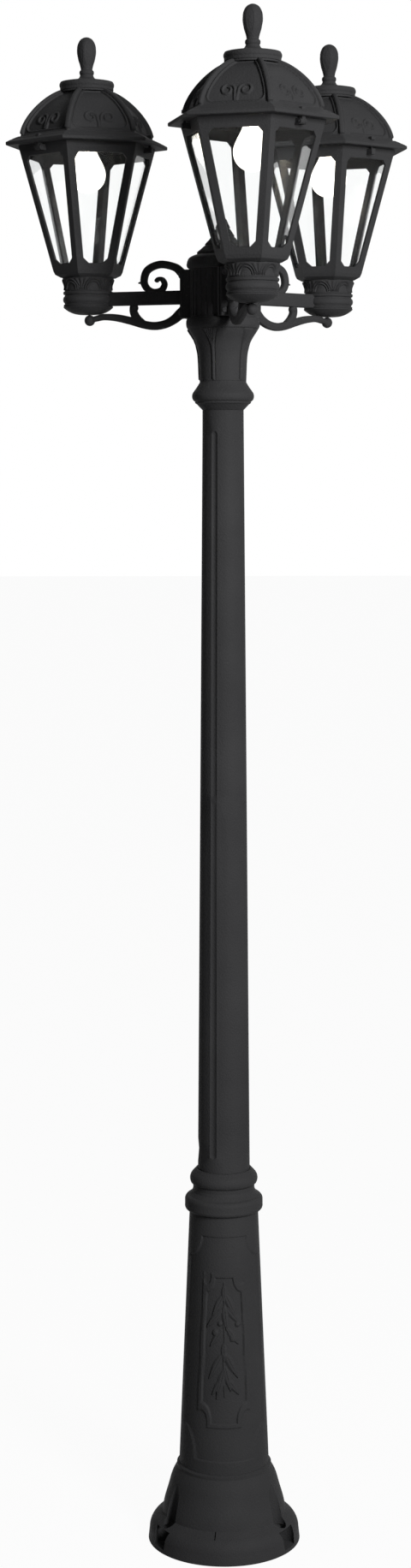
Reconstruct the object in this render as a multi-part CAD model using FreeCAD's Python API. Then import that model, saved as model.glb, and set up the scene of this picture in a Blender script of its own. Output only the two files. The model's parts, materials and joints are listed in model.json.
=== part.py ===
import FreeCAD, Part
import math
import os

# Garden lamp post with three lanterns, in millimetres, standing on z = 0 with +Z up.
# The origin is the centre of the base's underside.  The framed panel of the pedestal faces -Y.
# Azimuths are in degrees from -Y towards +X.  The column is a stack of turned casings,
# tied together by a steel tube.  Three scroll arms carry six-sided lanterns whose roofs
# swing open on a hinge pin, and each lantern can be turned on its seat.

V = FreeCAD.Vector
UP = V(0, 0, 1)

# ------------------------------------------------------------------ clearances
GAP = 0.3                # between the faces of two mouldings
THREAD_GAP = 0.05        # radial, in a tapped or pressed fit
PIN_GAP = 0.05           # radial, between a hinge pin and its knuckle
HOLE_GAP = 0.5           # radial, where a bolt passes through
TIP_R = 1.5              # small flat on rounded tips

# ------------------------------------------------------------------ column
BASE_R = 130.5           # flange radius on the ground
BASE_H = 138.0           # height of the base moulding
BASE_FLOOR = 14.0        # thickness of the base's floor
SHOULDER_H = 50.0        # height of the round shoulder of the flange
BELL_R = BASE_R - 24.5   # bell radius where it meets the shoulder
BELL_TOP_R = 77.0        # bell radius under the pedestal
BELL_WALL = 7.0

BOLT_R = 5.0             # M10 ground bolts
BOLT_WAIST_R = 4.5       # plain shank between the thread and the head
BOLT_CIRCLE_R = BASE_R - 25.5
BOLT_COUNT = 3
BOLT_BELOW = 60.0        # length of bolt below the ground line
BOLT_HEAD_AF = 17.0
BOLT_HEAD_H = 7.0
WASHER_R = 10.5
WASHER_T = 2.0
POCKET_R = 22.0          # scooped pocket round each bolt
POCKET_OUT = 9.0         # pocket centre, outwards from the bolt
POCKET_FLOOR = 6.0
POCKET_TOP = 37.0
WRENCH_R = 14.5          # upright recess for a socket wrench
WRENCH_TOP = 128.0
DRAIN_TURN = -8.0        # azimuth of the first drain slit on the shoulder
DRAIN_W = 2.0
DRAIN_H = 10.0

TUBE_R = 21.0            # steel core tube
TUBE_WALL = 2.6
FOOT_R = 60.0            # threaded disc on the foot of the tube
FOOT_T = 6.0
FOOT_INSET = 0.5         # disc's height above the ground line

PEDESTAL_H = 445.0
PEDESTAL_TOP_R = 58.2
CASING_WALL = 5.0
SPIGOT_H = 18.0          # how far each casing reaches into the one below

COLLAR_H = 70.0
SHAFT_SEAT_H = 31.0      # depth of the shaft's seat in the collar

SHAFT_H = 1306.0         # from its seat to the neck ring
SHAFT_FOOT_R = 44.4
SHAFT_TOP_R = TUBE_R + 12.8
COLLAR_R = SHAFT_FOOT_R + 21.7       # widest ring of the collar
SHAFT_WALL = 4.8
FLUTE_COUNT = 4
FLUTE_TURN = -24.6       # azimuth of the first flute
FLUTE_W_FOOT = 13.6
FLUTE_W_TOP = 10.6
FLUTE_DEPTH = 2.5
FLUTE_FOOT_GAP = 55.0    # from the shaft's lower end to the flute's
FLUTE_TOP_GAP = 34.0

NECK_H = 47.0
NECK_R = SHAFT_TOP_R + 17.1
CAPITAL_H = 84.0
CAPITAL_FOOT_R = SHAFT_TOP_R + 4.4
CAPITAL_TOP_R = CAPITAL_FOOT_R + 19.7
CROWN_H = 18.0           # round ring on top of the capital
CROWN_R = CAPITAL_TOP_R + 2.5
BORE_R = TUBE_R + 3.0    # clear way for the core tube in the upper casings

HUB_H = 78.0
HUB_R = 53.0
HUB_WALL = 7.0
HUB_FLOOR = 7.0
HUB_FLUTES = 30
HUB_FLUTE_R = 2.4
PAD_REACH = 62.0         # flat pad's distance from the post's axis
PAD_W = 38.0
CAP_H = 22.0
CAP_R = 59.1
CONE_H = 60.0
CONE_R = 42.0
NUT_AF = 2 * TUBE_R + 8.0
NUT_H = 12.0

# ------------------------------------------------------------------ arms
HEAD_TURN = 11.0         # azimuth of the front arm
ARM_REACH = 236.5        # lantern's axis from the post's axis
PLATE_T = 7.0
PLATE_W = 33.0
BAR_H = 22.5
BAR_W = 14.0
BAR_BELOW_HUB_TOP = 55.0 # bar's underside, below the hub's top
SEAT_ABOVE_BAR = 1.5     # seat's top above the bar's
SCROLL_W = 12.0          # thickness of the scrolls, across the arm
TAIL_BALL_R = 9.0        # knob at the end of the lower loop
WIRE_R = 3.5             # wire way along the bar
SCREW_R = 2.5
SCREW_HEAD_R = 4.4
SCREW_HEAD_H = 2.8
SCREW_DEPTH = 14.0
SCREW_OFFSET = 11.0      # sideways from the arm's middle
SCREW_EDGE = 9.0         # from the plate's top and bottom edges

SEAT_R = 41.8            # round seat under the lantern
SEAT_H = 24.0
SEAT_WALL = 4.0
NIPPLE_R = 6.0           # hollow threaded tube that clamps the lantern
NIPPLE_BORE = 4.0
SEAT_NUT_AF = 19.0
SEAT_NUT_H = 6.0
BOWL_H = 13.0
BOWL_FOOT_R = 16.0

# ------------------------------------------------------------------ lanterns
LANTERNS = (("front", 0.0, 2.0), ("right", 120.0, -2.0), ("left", 240.0, 35.0))
NECKLET_H = 22.0         # leaf collar under the cage
NECKLET_FOOT_R = 40.6
NECKLET_TOP_R = 43.9
SHEET = 4.0              # wall of the lantern's mouldings

CAGE_H = 211.4
CAGE_CORNER_TOP = 116.0  # hexagon circumradius under the eave
CAGE_CORNER_FOOT = 59.0  # hexagon circumradius above the rounded foot
CAGE_CORNER_FLOOR = 47.0
CAGE_FOOT_H = 10.0
SILL_H = 21.0            # from the cage's floor to its windows
FRIEZE_H = 17.0          # band above the windows
STRUT_W = 11.5           # visible width of a corner strut on each face
WINDOW_CHAMFER = 8.0

PANE_T = 2.0
PANE_FLOOR = 16.0        # diffuser's floor above the cage's floor
PANE_BELOW_RIM = 5.0

EAVE_CORNER = CAGE_CORNER_TOP + 21.0
EAVE_LIP = 6.0
SKIRT_H = 10.0
DOME_CORNER = CAGE_CORNER_TOP - 2.0   # hexagon circumradius at the foot of the dome
DOME_TOP_CORNER = 44.0
DOME_H = 72.0
RIM_CORNER = CAGE_CORNER_TOP - 8.0    # opening in the roof's underside

VENT_H = 20.7
VENT_R = 44.8
FINIAL_H = 68.7
FINIAL_R = 15.8

HINGE_AZ = 30.0          # faces of the fittings, from the lantern's first corner
CATCH_AZ = (150.0, 270.0)
HINGE_OUT = 6.541        # hinge pin outwards from the cage's face at its rim
HINGE_REACH = CAGE_CORNER_TOP * math.cos(math.radians(30)) + HINGE_OUT
HINGE_DROP = 7.2         # hinge pin below the cage's rim
PIN_R = 1.5
KNUCKLE_R = 4.5
KNUCKLE_W = 7.0
EAR_T = 3.0
STUD_R = 1.9
STUD_DROP = 8.5
SOCKET_GAP = 0.6
BLOCK_W = 8.0
BLOCK_L = 8.0
BLOCK_H = 5.0

HOLDER_R = 20.0
HOLDER_H = 45.0
HOLDER_DROP = 1.0        # its lower edge above the roof's underside
HOLDER_BORE = 14.3
STEM_R = 5.0
BULB_R = 30.0
BULB_NECK_R = 13.6
BULB_LENGTH = 106.0
BULB_CAP_R = 13.2
BULB_CAP_H = 24.0
BULB_TIP_H = 3.5
GLASS_T = 1.0
FILAMENTS = 4
FILAMENT_R = 0.9

# ------------------------------------------------------------------ heights in the stack
Z_BASE_TOP = BASE_H
Z_PED = Z_BASE_TOP + GAP
Z_PED_TOP = Z_PED + PEDESTAL_H
Z_COLLAR = Z_PED_TOP + GAP
Z_COLLAR_TOP = Z_COLLAR + COLLAR_H
Z_SHAFT = Z_COLLAR_TOP - SHAFT_SEAT_H
Z_SHAFT_TOP = Z_SHAFT + SHAFT_H
Z_NECK = Z_SHAFT_TOP + GAP
Z_NECK_TOP = Z_NECK + NECK_H
Z_CAPITAL = Z_NECK_TOP + GAP
Z_CROWN = Z_CAPITAL + CAPITAL_H
Z_CROWN_TOP = Z_CROWN + CROWN_H
Z_HUB = Z_CROWN_TOP + GAP
Z_HUB_FLOOR = Z_HUB + HUB_FLOOR
Z_HUB_TOP = Z_HUB + HUB_H
Z_CAP = Z_HUB_TOP + GAP
Z_CAP_TOP = Z_CAP + CAP_H
Z_BAR = Z_HUB_TOP - BAR_BELOW_HUB_TOP
Z_BAR_TOP = Z_BAR + BAR_H
Z_SEAT_TOP = Z_BAR_TOP + SEAT_ABOVE_BAR
Z_SEAT = Z_SEAT_TOP - SEAT_H
Z_NECKLET = Z_SEAT_TOP + GAP
Z_NECKLET_TOP = Z_NECKLET + NECKLET_H
Z_CAGE = Z_NECKLET_TOP + GAP
Z_CAGE_TOP = Z_CAGE + CAGE_H
Z_ROOF = Z_CAGE_TOP + GAP
Z_DOME = Z_ROOF + EAVE_LIP + SKIRT_H
Z_DOME_TOP = Z_DOME + DOME_H
Z_VENT = Z_DOME_TOP + GAP
Z_FINIAL = Z_VENT + VENT_H + GAP
Z_PIN = Z_CAGE_TOP - HINGE_DROP
PLATE_FACE = PAD_REACH + GAP + PLATE_T


# ------------------------------------------------------------------ helpers
def save(name, shape):
    """Write one named sub-part and print its volume and validity."""
    shape.exportStep("parts/" + name + ".step")
    print("%-26s solids %2d  volume %10.0f  valid %s"
          % (name, len(shape.Solids), shape.Volume, shape.isValid()))


def direction(azimuth):
    """Unit vector of an azimuth counted from -Y towards +X."""
    a = math.radians(azimuth)
    return V(math.sin(a), -math.cos(a), 0)


def turned_to(shape, azimuth):
    """Copy of a shape drawn along +X, turned to an azimuth about the post's axis."""
    out = shape.copy()
    out.rotate(V(0, 0, 0), UP, azimuth - 90)
    return out


def ring_of(shape, count, first=0.0):
    """Copies of a shape, evenly spaced about the Z axis."""
    out = []
    for k in range(count):
        one = shape.copy()
        one.rotate(V(0, 0, 0), UP, first + 360.0 * k / count)
        out.append(one)
    return out


def outline(steps):
    """Closed wire in the XZ plane: (r, z) is a line, (r1, z1, r2, z2) an arc, a list a curve."""
    first = V(steps[0][0], 0, steps[0][1])
    here = first
    edges = []
    for step in steps[1:]:
        if isinstance(step, list):
            points = [here] + [V(r, 0, z) for r, z in step]
            curve = Part.BSplineCurve()
            curve.interpolate(points)
            edges.append(curve.toShape())
            here = points[-1]
        elif len(step) == 4:
            end = V(step[2], 0, step[3])
            edges.append(Part.Arc(here, V(step[0], 0, step[1]), end).toShape())
            here = end
        else:
            end = V(step[0], 0, step[1])
            edges.append(Part.LineSegment(here, end).toShape())
            here = end
    if here.distanceToPoint(first) > 1e-6:
        edges.append(Part.LineSegment(here, first).toShape())
    return Part.Wire(edges)


def lathe(*steps):
    """Solid turned about the Z axis from a closed outline."""
    return Part.Face(outline(steps)).revolve(V(0, 0, 0), UP, 360)


def plate(steps, width):
    """Flat solid, centred on the XZ plane, from a closed outline."""
    return Part.Face(outline(steps)).extrude(V(0, width, 0)).translated(V(0, -width / 2.0, 0))


def hexagon(corner, z):
    """Hexagonal wire about the Z axis, with its first corner on +X."""
    points = [V(corner * math.cos(math.radians(60 * k)), corner * math.sin(math.radians(60 * k)), z)
              for k in range(6)]
    return Part.makePolygon(points + points[:1])


def hex_stack(sections, smooth=False):
    """Solid through hexagons given as (circumradius, z)."""
    return Part.makeLoft([hexagon(c, z) for c, z in sections], True, not smooth)


def hex_prism(across_flats, z, height):
    """Upright hexagonal prism, as a nut or a bolt head."""
    return Part.Face(hexagon(across_flats / math.sqrt(3), z)).extrude(V(0, 0, height))


def rod(radius, low, high):
    """Upright cylinder from one height to another."""
    return Part.makeCylinder(radius, high - low, V(0, 0, low), UP)


def ribbon(points, widths, thickness):
    """Flat band along a smooth curve in the XZ plane, with its own width at each point."""
    path = Part.BSplineCurve()
    path.interpolate([V(x, 0, z) for x, z in points])
    left = []
    right = []
    for (x, z), w in zip(points, widths):
        tangent = path.tangent(path.parameter(V(x, 0, z)))[0]
        side = V(-tangent.z, 0, tangent.x) * (w / 2.0)
        left.append(V(x, 0, z) + side)
        right.append(V(x, 0, z) - side)
    edge_a = Part.BSplineCurve()
    edge_a.interpolate(left)
    edge_b = Part.BSplineCurve()
    edge_b.interpolate(right)
    wire = Part.Wire([edge_a.toShape(), Part.LineSegment(left[-1], right[-1]).toShape(),
                      edge_b.toShape(), Part.LineSegment(right[0], left[0]).toShape()])
    return Part.Face(wire).extrude(V(0, thickness, 0)).translated(V(0, -thickness / 2.0, 0))


def joined(shapes):
    """One solid fused from several."""
    return shapes[0].multiFuse(shapes[1:]).removeSplitter()


# ------------------------------------------------------------------ column pieces
def make_base_bell():
    """Flange, bell and floor, with a pocket and a wrench recess at each ground bolt."""
    bell = BASE_H - SHOULDER_H
    body = lathe((0, 0), (BASE_R, 0), (BASE_R - 2, 18),
                 (BASE_R - 7, 34, BASE_R - 15, SHOULDER_H - 8),
                 (BELL_R, SHOULDER_H),
                 [(BELL_R - 4.5, SHOULDER_H + 0.26 * bell), (BELL_R - 10.5, SHOULDER_H + 0.49 * bell),
                  (BELL_R - 17, SHOULDER_H + 0.74 * bell), (BELL_TOP_R + 6.6, SHOULDER_H + 0.86 * bell)],
                 (BELL_TOP_R + 4, BASE_H - 8), (BELL_TOP_R + 4, BASE_H - 3), (BELL_TOP_R, BASE_H),
                 (0, BASE_H))
    cavity = rod(BELL_TOP_R - BELL_WALL, BASE_FLOOR, BASE_H + 1)
    recess = rod(FOOT_R + GAP, -1, FOOT_INSET + FOOT_T + GAP)
    tube_hole = rod(TUBE_R + GAP, 0, BASE_FLOOR + 1)
    pocket = rod(POCKET_R, POCKET_FLOOR, POCKET_TOP).translated(V(BOLT_CIRCLE_R + POCKET_OUT, 0, 0))
    wrench = rod(WRENCH_R, POCKET_FLOOR, WRENCH_TOP).translated(V(BOLT_CIRCLE_R, 0, 0))
    hole = rod(BOLT_R + HOLE_GAP, -1, POCKET_FLOOR + 1).translated(V(BOLT_CIRCLE_R, 0, 0))
    drain = Part.makeBox(BASE_R - BELL_R, DRAIN_W, DRAIN_H,
                         V(BELL_R - 3, -DRAIN_W / 2, SHOULDER_H - DRAIN_H))
    cuts = [cavity, recess, tube_hole]
    for tool, first in ((pocket, 180), (wrench, 180), (hole, 180), (drain, DRAIN_TURN)):
        cuts += [turned_to(tool, first + 360.0 * k / BOLT_COUNT) for k in range(BOLT_COUNT)]
    return body.cut(cuts)


def make_bolt_set(single):
    """The same fastener at every ground bolt."""
    piece = single.translated(V(BOLT_CIRCLE_R, 0, 0))
    return Part.makeCompound([turned_to(piece, 180 + 360.0 * k / BOLT_COUNT) for k in range(BOLT_COUNT)])


def make_anchor_bolts():
    """Hex-head ground bolts: a thread below the ground line and a thinner shank above it."""
    head_z = POCKET_FLOOR + WASHER_T
    head = hex_prism(BOLT_HEAD_AF, head_z, BOLT_HEAD_H)
    dome = Part.makeCone(BOLT_HEAD_AF * 0.62, BOLT_HEAD_AF * 0.42, BOLT_HEAD_H, V(0, 0, head_z), UP)
    thread = rod(BOLT_R, -BOLT_BELOW, 0)
    return make_bolt_set(joined([head.common(dome), rod(BOLT_WAIST_R, -1, head_z + 1), thread]))


def make_anchor_washers():
    """Flat washers under the bolt heads."""
    washer = rod(WASHER_R, POCKET_FLOOR, POCKET_FLOOR + WASHER_T)
    return make_bolt_set(washer.cut(rod(BOLT_R + HOLE_GAP, 0, POCKET_FLOOR + WASHER_T + 1)))


def make_core_tube():
    """Steel tube that ties the column together; wires run up inside it."""
    tube = rod(TUBE_R, FOOT_INSET, Z_HUB_FLOOR + NUT_H + 6)
    return tube.cut(rod(TUBE_R - TUBE_WALL, -1, Z_HUB_FLOOR + NUT_H + 7))


def make_core_foot():
    """Disc on the foot of the tube, which pulls the casings down on the nut."""
    foot = rod(FOOT_R, FOOT_INSET, FOOT_INSET + FOOT_T)
    return foot.cut(rod(TUBE_R + THREAD_GAP, -1, FOOT_INSET + FOOT_T + 1))


def make_pedestal():
    """Tapered casing with a spigot that enters the bell."""
    spigot_r = BELL_TOP_R - BELL_WALL - GAP
    inner_foot = BELL_TOP_R - CASING_WALL
    return lathe((spigot_r - CASING_WALL, Z_PED - SPIGOT_H), (spigot_r, Z_PED - SPIGOT_H), (spigot_r, Z_PED),
                 (BELL_TOP_R, Z_PED), (PEDESTAL_TOP_R, Z_PED_TOP), (PEDESTAL_TOP_R - CASING_WALL, Z_PED_TOP),
                 (inner_foot, Z_PED + 8), (spigot_r - CASING_WALL, Z_PED + 2))


def make_pedestal_collar():
    """Turned collar that seats the shaft and caps the pedestal."""
    spigot_r = PEDESTAL_TOP_R - CASING_WALL - GAP
    seat_r = SHAFT_FOOT_R + GAP
    z = Z_COLLAR
    neck = COLLAR_R - 14.0
    return lathe((spigot_r - CASING_WALL, z - SPIGOT_H), (spigot_r, z - SPIGOT_H), (spigot_r, z),
                 (COLLAR_R - 2.6, z), (COLLAR_R - 0.2, z + 3.5, COLLAR_R, z + 7),
                 (COLLAR_R, z + 17), (COLLAR_R - 2.5, z + 22.5, COLLAR_R - 7, z + 25),
                 (COLLAR_R - 12.5, z + 31), (neck, z + 36), (neck, z + 43), (COLLAR_R - 10.5, z + 46),
                 (COLLAR_R - 8.7, z + 54, COLLAR_R - 12.4, z + 63), (seat_r + 2.5, Z_COLLAR_TOP),
                 (seat_r, Z_COLLAR_TOP), (seat_r, Z_SHAFT - GAP), (seat_r - 8, Z_SHAFT - GAP),
                 (seat_r - 8, Z_SHAFT - 8), (spigot_r - CASING_WALL, Z_SHAFT - 14))


def shaft_radius(z):
    """Outer radius of the tapered shaft."""
    t = (z - Z_SHAFT) / SHAFT_H
    return SHAFT_FOOT_R + (SHAFT_TOP_R - SHAFT_FOOT_R) * t


def make_post_shaft():
    """Long tapered tube with round-ended flutes."""
    body = lathe((SHAFT_FOOT_R - SHAFT_WALL, Z_SHAFT), (SHAFT_FOOT_R, Z_SHAFT),
                 (SHAFT_TOP_R, Z_SHAFT_TOP), (SHAFT_TOP_R - SHAFT_WALL, Z_SHAFT_TOP))
    low = Z_SHAFT + FLUTE_FOOT_GAP
    high = Z_SHAFT_TOP - FLUTE_TOP_GAP
    radii = [(w * w / 4.0 + FLUTE_DEPTH ** 2) / (2 * FLUTE_DEPTH) for w in (FLUTE_W_FOOT, FLUTE_W_TOP)]
    foot = V(shaft_radius(low) + radii[0] - FLUTE_DEPTH, 0, low + FLUTE_W_FOOT / 2)
    top = V(shaft_radius(high) + radii[1] - FLUTE_DEPTH, 0, high - FLUTE_W_TOP / 2)
    along = top - foot
    tool = Part.makeCone(radii[0], radii[1], along.Length, foot, along)
    tool = tool.multiFuse([Part.makeSphere(radii[0], foot), Part.makeSphere(radii[1], top)])
    tools = [turned_to(tool, FLUTE_TURN + 360.0 * k / FLUTE_COUNT) for k in range(FLUTE_COUNT)]
    return body.cut(tools)


def make_neck_ring():
    """Turned ring on top of the shaft, with a spigot down and a recess on top."""
    z = Z_NECK
    spigot_r = SHAFT_TOP_R - SHAFT_WALL - GAP
    recess_r = CAPITAL_FOOT_R - CASING_WALL - GAP
    return lathe((BORE_R, z - SPIGOT_H), (spigot_r, z - SPIGOT_H), (spigot_r, z), (SHAFT_TOP_R, z),
                 (NECK_R - 8.5, z + 9), (NECK_R - 5, z + 11.5), (NECK_R - 5, z + 13.5),
                 (NECK_R - 2, z + 16), (NECK_R, z + 22, NECK_R - 2, z + 29), (NECK_R - 7, z + 36),
                 (NECK_R - 11.5, z + 43), (CAPITAL_FOOT_R, z + 45), (CAPITAL_FOOT_R, Z_NECK_TOP),
                 (recess_r + GAP, Z_NECK_TOP), (recess_r + GAP, Z_NECK_TOP - SPIGOT_H / 2),
                 (BORE_R, Z_NECK_TOP - SPIGOT_H / 2))


def make_capital():
    """Flared bell under the arms, with a round ring on top."""
    z = Z_CAPITAL
    spigot_r = CAPITAL_FOOT_R - CASING_WALL - GAP
    flare = CAPITAL_TOP_R - CAPITAL_FOOT_R
    top_bore = HUB_R - CASING_WALL
    return lathe((BORE_R, z - SPIGOT_H / 2 + GAP), (spigot_r, z - SPIGOT_H / 2 + GAP), (spigot_r, z),
                 (CAPITAL_FOOT_R, z),
                 [(CAPITAL_FOOT_R + 0.08 * flare, z + 0.44 * CAPITAL_H),
                  (CAPITAL_FOOT_R + 0.19 * flare, z + 0.61 * CAPITAL_H),
                  (CAPITAL_FOOT_R + 0.40 * flare, z + 0.77 * CAPITAL_H),
                  (CAPITAL_FOOT_R + 0.82 * flare, z + 0.93 * CAPITAL_H), (CAPITAL_TOP_R, z + CAPITAL_H - 2)],
                 (CAPITAL_TOP_R, Z_CROWN), (CROWN_R - 3, Z_CROWN),
                 (CROWN_R, Z_CROWN + 0.5 * CROWN_H, CROWN_R - 3, Z_CROWN_TOP),
                 (top_bore, Z_CROWN_TOP), (top_bore, Z_CROWN_TOP - SPIGOT_H / 2 - 2),
                 (CAPITAL_TOP_R - 16, Z_CROWN - 2), (BORE_R, z + 0.3 * CAPITAL_H))


def make_hub_body():
    """Fluted drum with three pads; its floor carries the core nut."""
    spigot_r = HUB_R - CASING_WALL - GAP
    drum = lathe((TUBE_R + GAP, Z_HUB), (spigot_r - CASING_WALL, Z_HUB),
                 (spigot_r - CASING_WALL, Z_HUB - SPIGOT_H / 2), (spigot_r, Z_HUB - SPIGOT_H / 2),
                 (spigot_r, Z_HUB), (HUB_R, Z_HUB), (HUB_R, Z_HUB_TOP), (HUB_R - HUB_WALL, Z_HUB_TOP),
                 (HUB_R - HUB_WALL, Z_HUB_FLOOR), (TUBE_R + GAP, Z_HUB_FLOOR))
    flute = rod(HUB_FLUTE_R, Z_HUB + 3, Z_HUB_TOP - 3).translated(V(HUB_R + 0.4, 0, 0))
    drum = drum.cut(ring_of(flute, HUB_FLUTES))
    inner = HUB_R - HUB_WALL + 1
    pad = Part.makeBox(PAD_REACH - inner, PAD_W, HUB_H, V(inner, -PAD_W / 2, Z_HUB))
    pad = pad.cut(rod(HUB_R - HUB_WALL, Z_HUB - 1, Z_HUB_TOP + 1))
    drum = joined([drum] + [turned_to(pad, HEAD_TURN + a) for _, a, _ in LANTERNS])
    wire_way = Part.makeCylinder(WIRE_R, HUB_R, V(TUBE_R + GAP, 0, Z_BAR + BAR_H / 2), V(1, 0, 0))
    cuts = [turned_to(wire_way, HEAD_TURN + a) for _, a, _ in LANTERNS]
    for y, z in screw_places():
        start = V(PAD_REACH - SCREW_DEPTH + PLATE_T, y, z)
        tap = Part.makeCylinder(SCREW_R + THREAD_GAP, SCREW_DEPTH, start, V(1, 0, 0))
        cuts += [turned_to(tap, HEAD_TURN + a) for _, a, _ in LANTERNS]
    return drum.cut(cuts)


def make_core_nut():
    """Large nut that clamps the stack down on the foot disc."""
    nut = hex_prism(NUT_AF, Z_HUB_FLOOR, NUT_H)
    return nut.cut(rod(TUBE_R + THREAD_GAP, Z_HUB_FLOOR - 1, Z_HUB_FLOOR + NUT_H + 1))


def make_terminal_block():
    """Wiring block on the hub's floor, with six screw wells."""
    reach = NUT_AF / math.sqrt(3) + 1.5
    depth = HUB_R - HUB_WALL - reach - 3
    block = Part.makeBox(depth, 26, 16, V(reach, -13, Z_HUB_FLOOR + GAP))
    wells = [Part.makeCylinder(2.2, 6, V(reach + depth * (0.3 if k % 2 else 0.7), -8 + 8 * (k // 2),
                                         Z_HUB_FLOOR + GAP + 11)) for k in range(6)]
    return turned_to(block.cut(wells), HEAD_TURN + 60)


def make_hub_cap():
    """Rounded lid of the hub with its pointed cone."""
    spigot_r = HUB_R - HUB_WALL - GAP
    z = Z_CAP_TOP
    body = lathe((0, Z_CAP), (CAP_R - 4, Z_CAP), (CAP_R - 0.8, Z_CAP + 3, CAP_R, Z_CAP + 8),
                 (CAP_R - 3.4, Z_CAP + 17, CAP_R - 12, z), (CONE_R + 1, z), (CONE_R, z + 4),
                 [(CONE_R - 9.5, z + 0.20 * CONE_H), (CONE_R - 18, z + 0.36 * CONE_H),
                  (CONE_R - 25, z + 0.52 * CONE_H), (8, z + 0.80 * CONE_H)],
                 (6.5, z + 0.94 * CONE_H, TIP_R, z + CONE_H), (0, z + CONE_H))
    hollow = lathe((0, Z_CAP - 1), (spigot_r - 4, Z_CAP - 1), (spigot_r - 4, Z_CAP + 8),
                   (CONE_R - 10, z + 2), (4, z + 0.52 * CONE_H), (0, z + 0.52 * CONE_H))
    lip = rod(spigot_r, Z_CAP - 9, Z_CAP + 1).cut(rod(spigot_r - 4, Z_CAP - 10, Z_CAP + 2))
    return joined([body.cut(hollow), lip])


# ------------------------------------------------------------------ arm pieces
def screw_places():
    """Sideways offset and height of the four screws of an arm plate."""
    return [(side * SCREW_OFFSET, z) for side in (-1, 1)
            for z in (Z_HUB + SCREW_EDGE, Z_HUB_TOP - SCREW_EDGE)]


def make_arm():
    """Scroll arm along +X: plate, bar, upper spiral, lower loop and the lantern's seat."""
    back = PAD_REACH + GAP
    face = Part.makeBox(PLATE_T, PLATE_W, HUB_H, V(back, -PLATE_W / 2, Z_HUB))
    bar = Part.makeBox(ARM_REACH - PLATE_FACE, BAR_W, BAR_H, V(PLATE_FACE - 1, -BAR_W / 2, Z_BAR))
    long_edges = [e for e in bar.Edges if abs(e.BoundBox.XLength - bar.BoundBox.XLength) < 1e-6]
    bar = bar.makeChamfer(1.5, long_edges)
    # upper spiral, about a centre beyond the plate
    cx, cz = PLATE_FACE + 41.0, Z_BAR_TOP + 14.5
    spiral = [(-40, 13), (-27, 23.5), (-1.5, 28.5), (20.5, 20), (27, 2.8), (22, -9.5),
              (10.5, -15.5), (-3, -13.5), (-9, -4.2), (-5.2, 4), (2.5, 4.6), (6.5, -0.5)]
    widths = [14.5, 13, 12.5, 12, 11.5, 11, 10.5, 10, 9, 8, 6.5, 5]
    upper = ribbon([(cx + x, cz + z) for x, z in spiral], widths, SCROLL_W)
    spur = plate([(cx + 30, cz + 2), (cx + 37.5, cz - 1.2), (cx + 30, cz - 4)], SCROLL_W * 0.6)
    # lower loop from the plate's foot, then a long tail under the bowl
    low = Z_SEAT_TOP - 20.0
    tail = ARM_REACH
    loop = [(PLATE_FACE - 3, low - 15), (PLATE_FACE + 10, low - 20), (PLATE_FACE + 20.5, low - 27),
            (PLATE_FACE + 34, low - 34), (PLATE_FACE + 50, low - 37.5), (PLATE_FACE + 66.5, low - 35.8),
            (tail - 74, low - 28.5), (tail - 51, low - 23.5), (tail - 29, low - 21.8), (tail - 15, low - 24),
            (tail - 3, low - 27)]
    widths = [28, 19, 16, 14.5, 13.5, 13.5, 13, 12, 10.5, 9.5, 8]
    lower = ribbon(loop, widths, SCROLL_W)
    strut_x = PLATE_FACE + 85.5
    strut = ribbon([(strut_x, low + 2), (strut_x + 1.5, low - 12), (strut_x - 4, low - 24),
                    (strut_x - 16, low - 34)], [9, 12, 13, 11], SCROLL_W)
    ball = Part.makeSphere(7.5, V(strut_x + 0.5, 0, low - 8))
    knob = Part.makeSphere(TAIL_BALL_R, V(tail - 2.5, 0, low - 18 - TAIL_BALL_R))
    seat = rod(SEAT_R, Z_SEAT, Z_SEAT_TOP).translated(V(ARM_REACH, 0, 0))
    arm = joined([face, bar, upper, spur, lower, strut, ball, knob, seat])
    under = rod(SEAT_R - SEAT_WALL, Z_SEAT - 1, Z_SEAT_TOP - SHEET).translated(V(ARM_REACH, 0, 0))
    groove = lathe((SEAT_R + 1, Z_SEAT + 9.5), (SEAT_R - 1.2, Z_SEAT + 11), (SEAT_R + 1, Z_SEAT + 12.5))
    hole = rod(NIPPLE_R + GAP, Z_SEAT, Z_SEAT_TOP + 1).translated(V(ARM_REACH, 0, 0))
    wire_way = Part.makeCylinder(WIRE_R, ARM_REACH - SEAT_R - PAD_REACH + 10,
                                 V(PAD_REACH - 1, 0, Z_BAR + BAR_H / 2), V(1, 0, 0))
    cuts = [under, hole, wire_way, groove.translated(V(ARM_REACH, 0, 0))]
    for y, z in screw_places():
        cuts.append(Part.makeCylinder(SCREW_R + HOLE_GAP, PLATE_T + 2, V(back - 1, y, z), V(1, 0, 0)))
    return arm.cut(cuts)


def make_arm_screws():
    """Pan-head screws that hold the arm plates to the hub's pads."""
    solids = []
    for y, z in screw_places():
        shank = Part.makeCylinder(SCREW_R, SCREW_DEPTH, V(PLATE_FACE - SCREW_DEPTH + 1, y, z), V(1, 0, 0))
        head = Part.makeCylinder(SCREW_HEAD_R, SCREW_HEAD_H, V(PLATE_FACE, y, z), V(1, 0, 0))
        rim = [e for e in head.Edges if e.BoundBox.XMin > PLATE_FACE + SCREW_HEAD_H - 0.01]
        screw = joined([shank, head.makeFillet(1.2, rim)])
        slot = Part.makeBox(1.2, 9, 1.0, V(PLATE_FACE + SCREW_HEAD_H - 1, y - 4.5, z - 0.5))
        solids += [turned_to(screw.cut(slot), HEAD_TURN + a) for _, a, _ in LANTERNS]
    return Part.makeCompound(solids)


def at_seats(shape):
    """The same upright piece at each lantern's axis."""
    piece = shape.translated(V(ARM_REACH, 0, 0))
    return Part.makeCompound([turned_to(piece, HEAD_TURN + a) for _, a, _ in LANTERNS])


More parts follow.
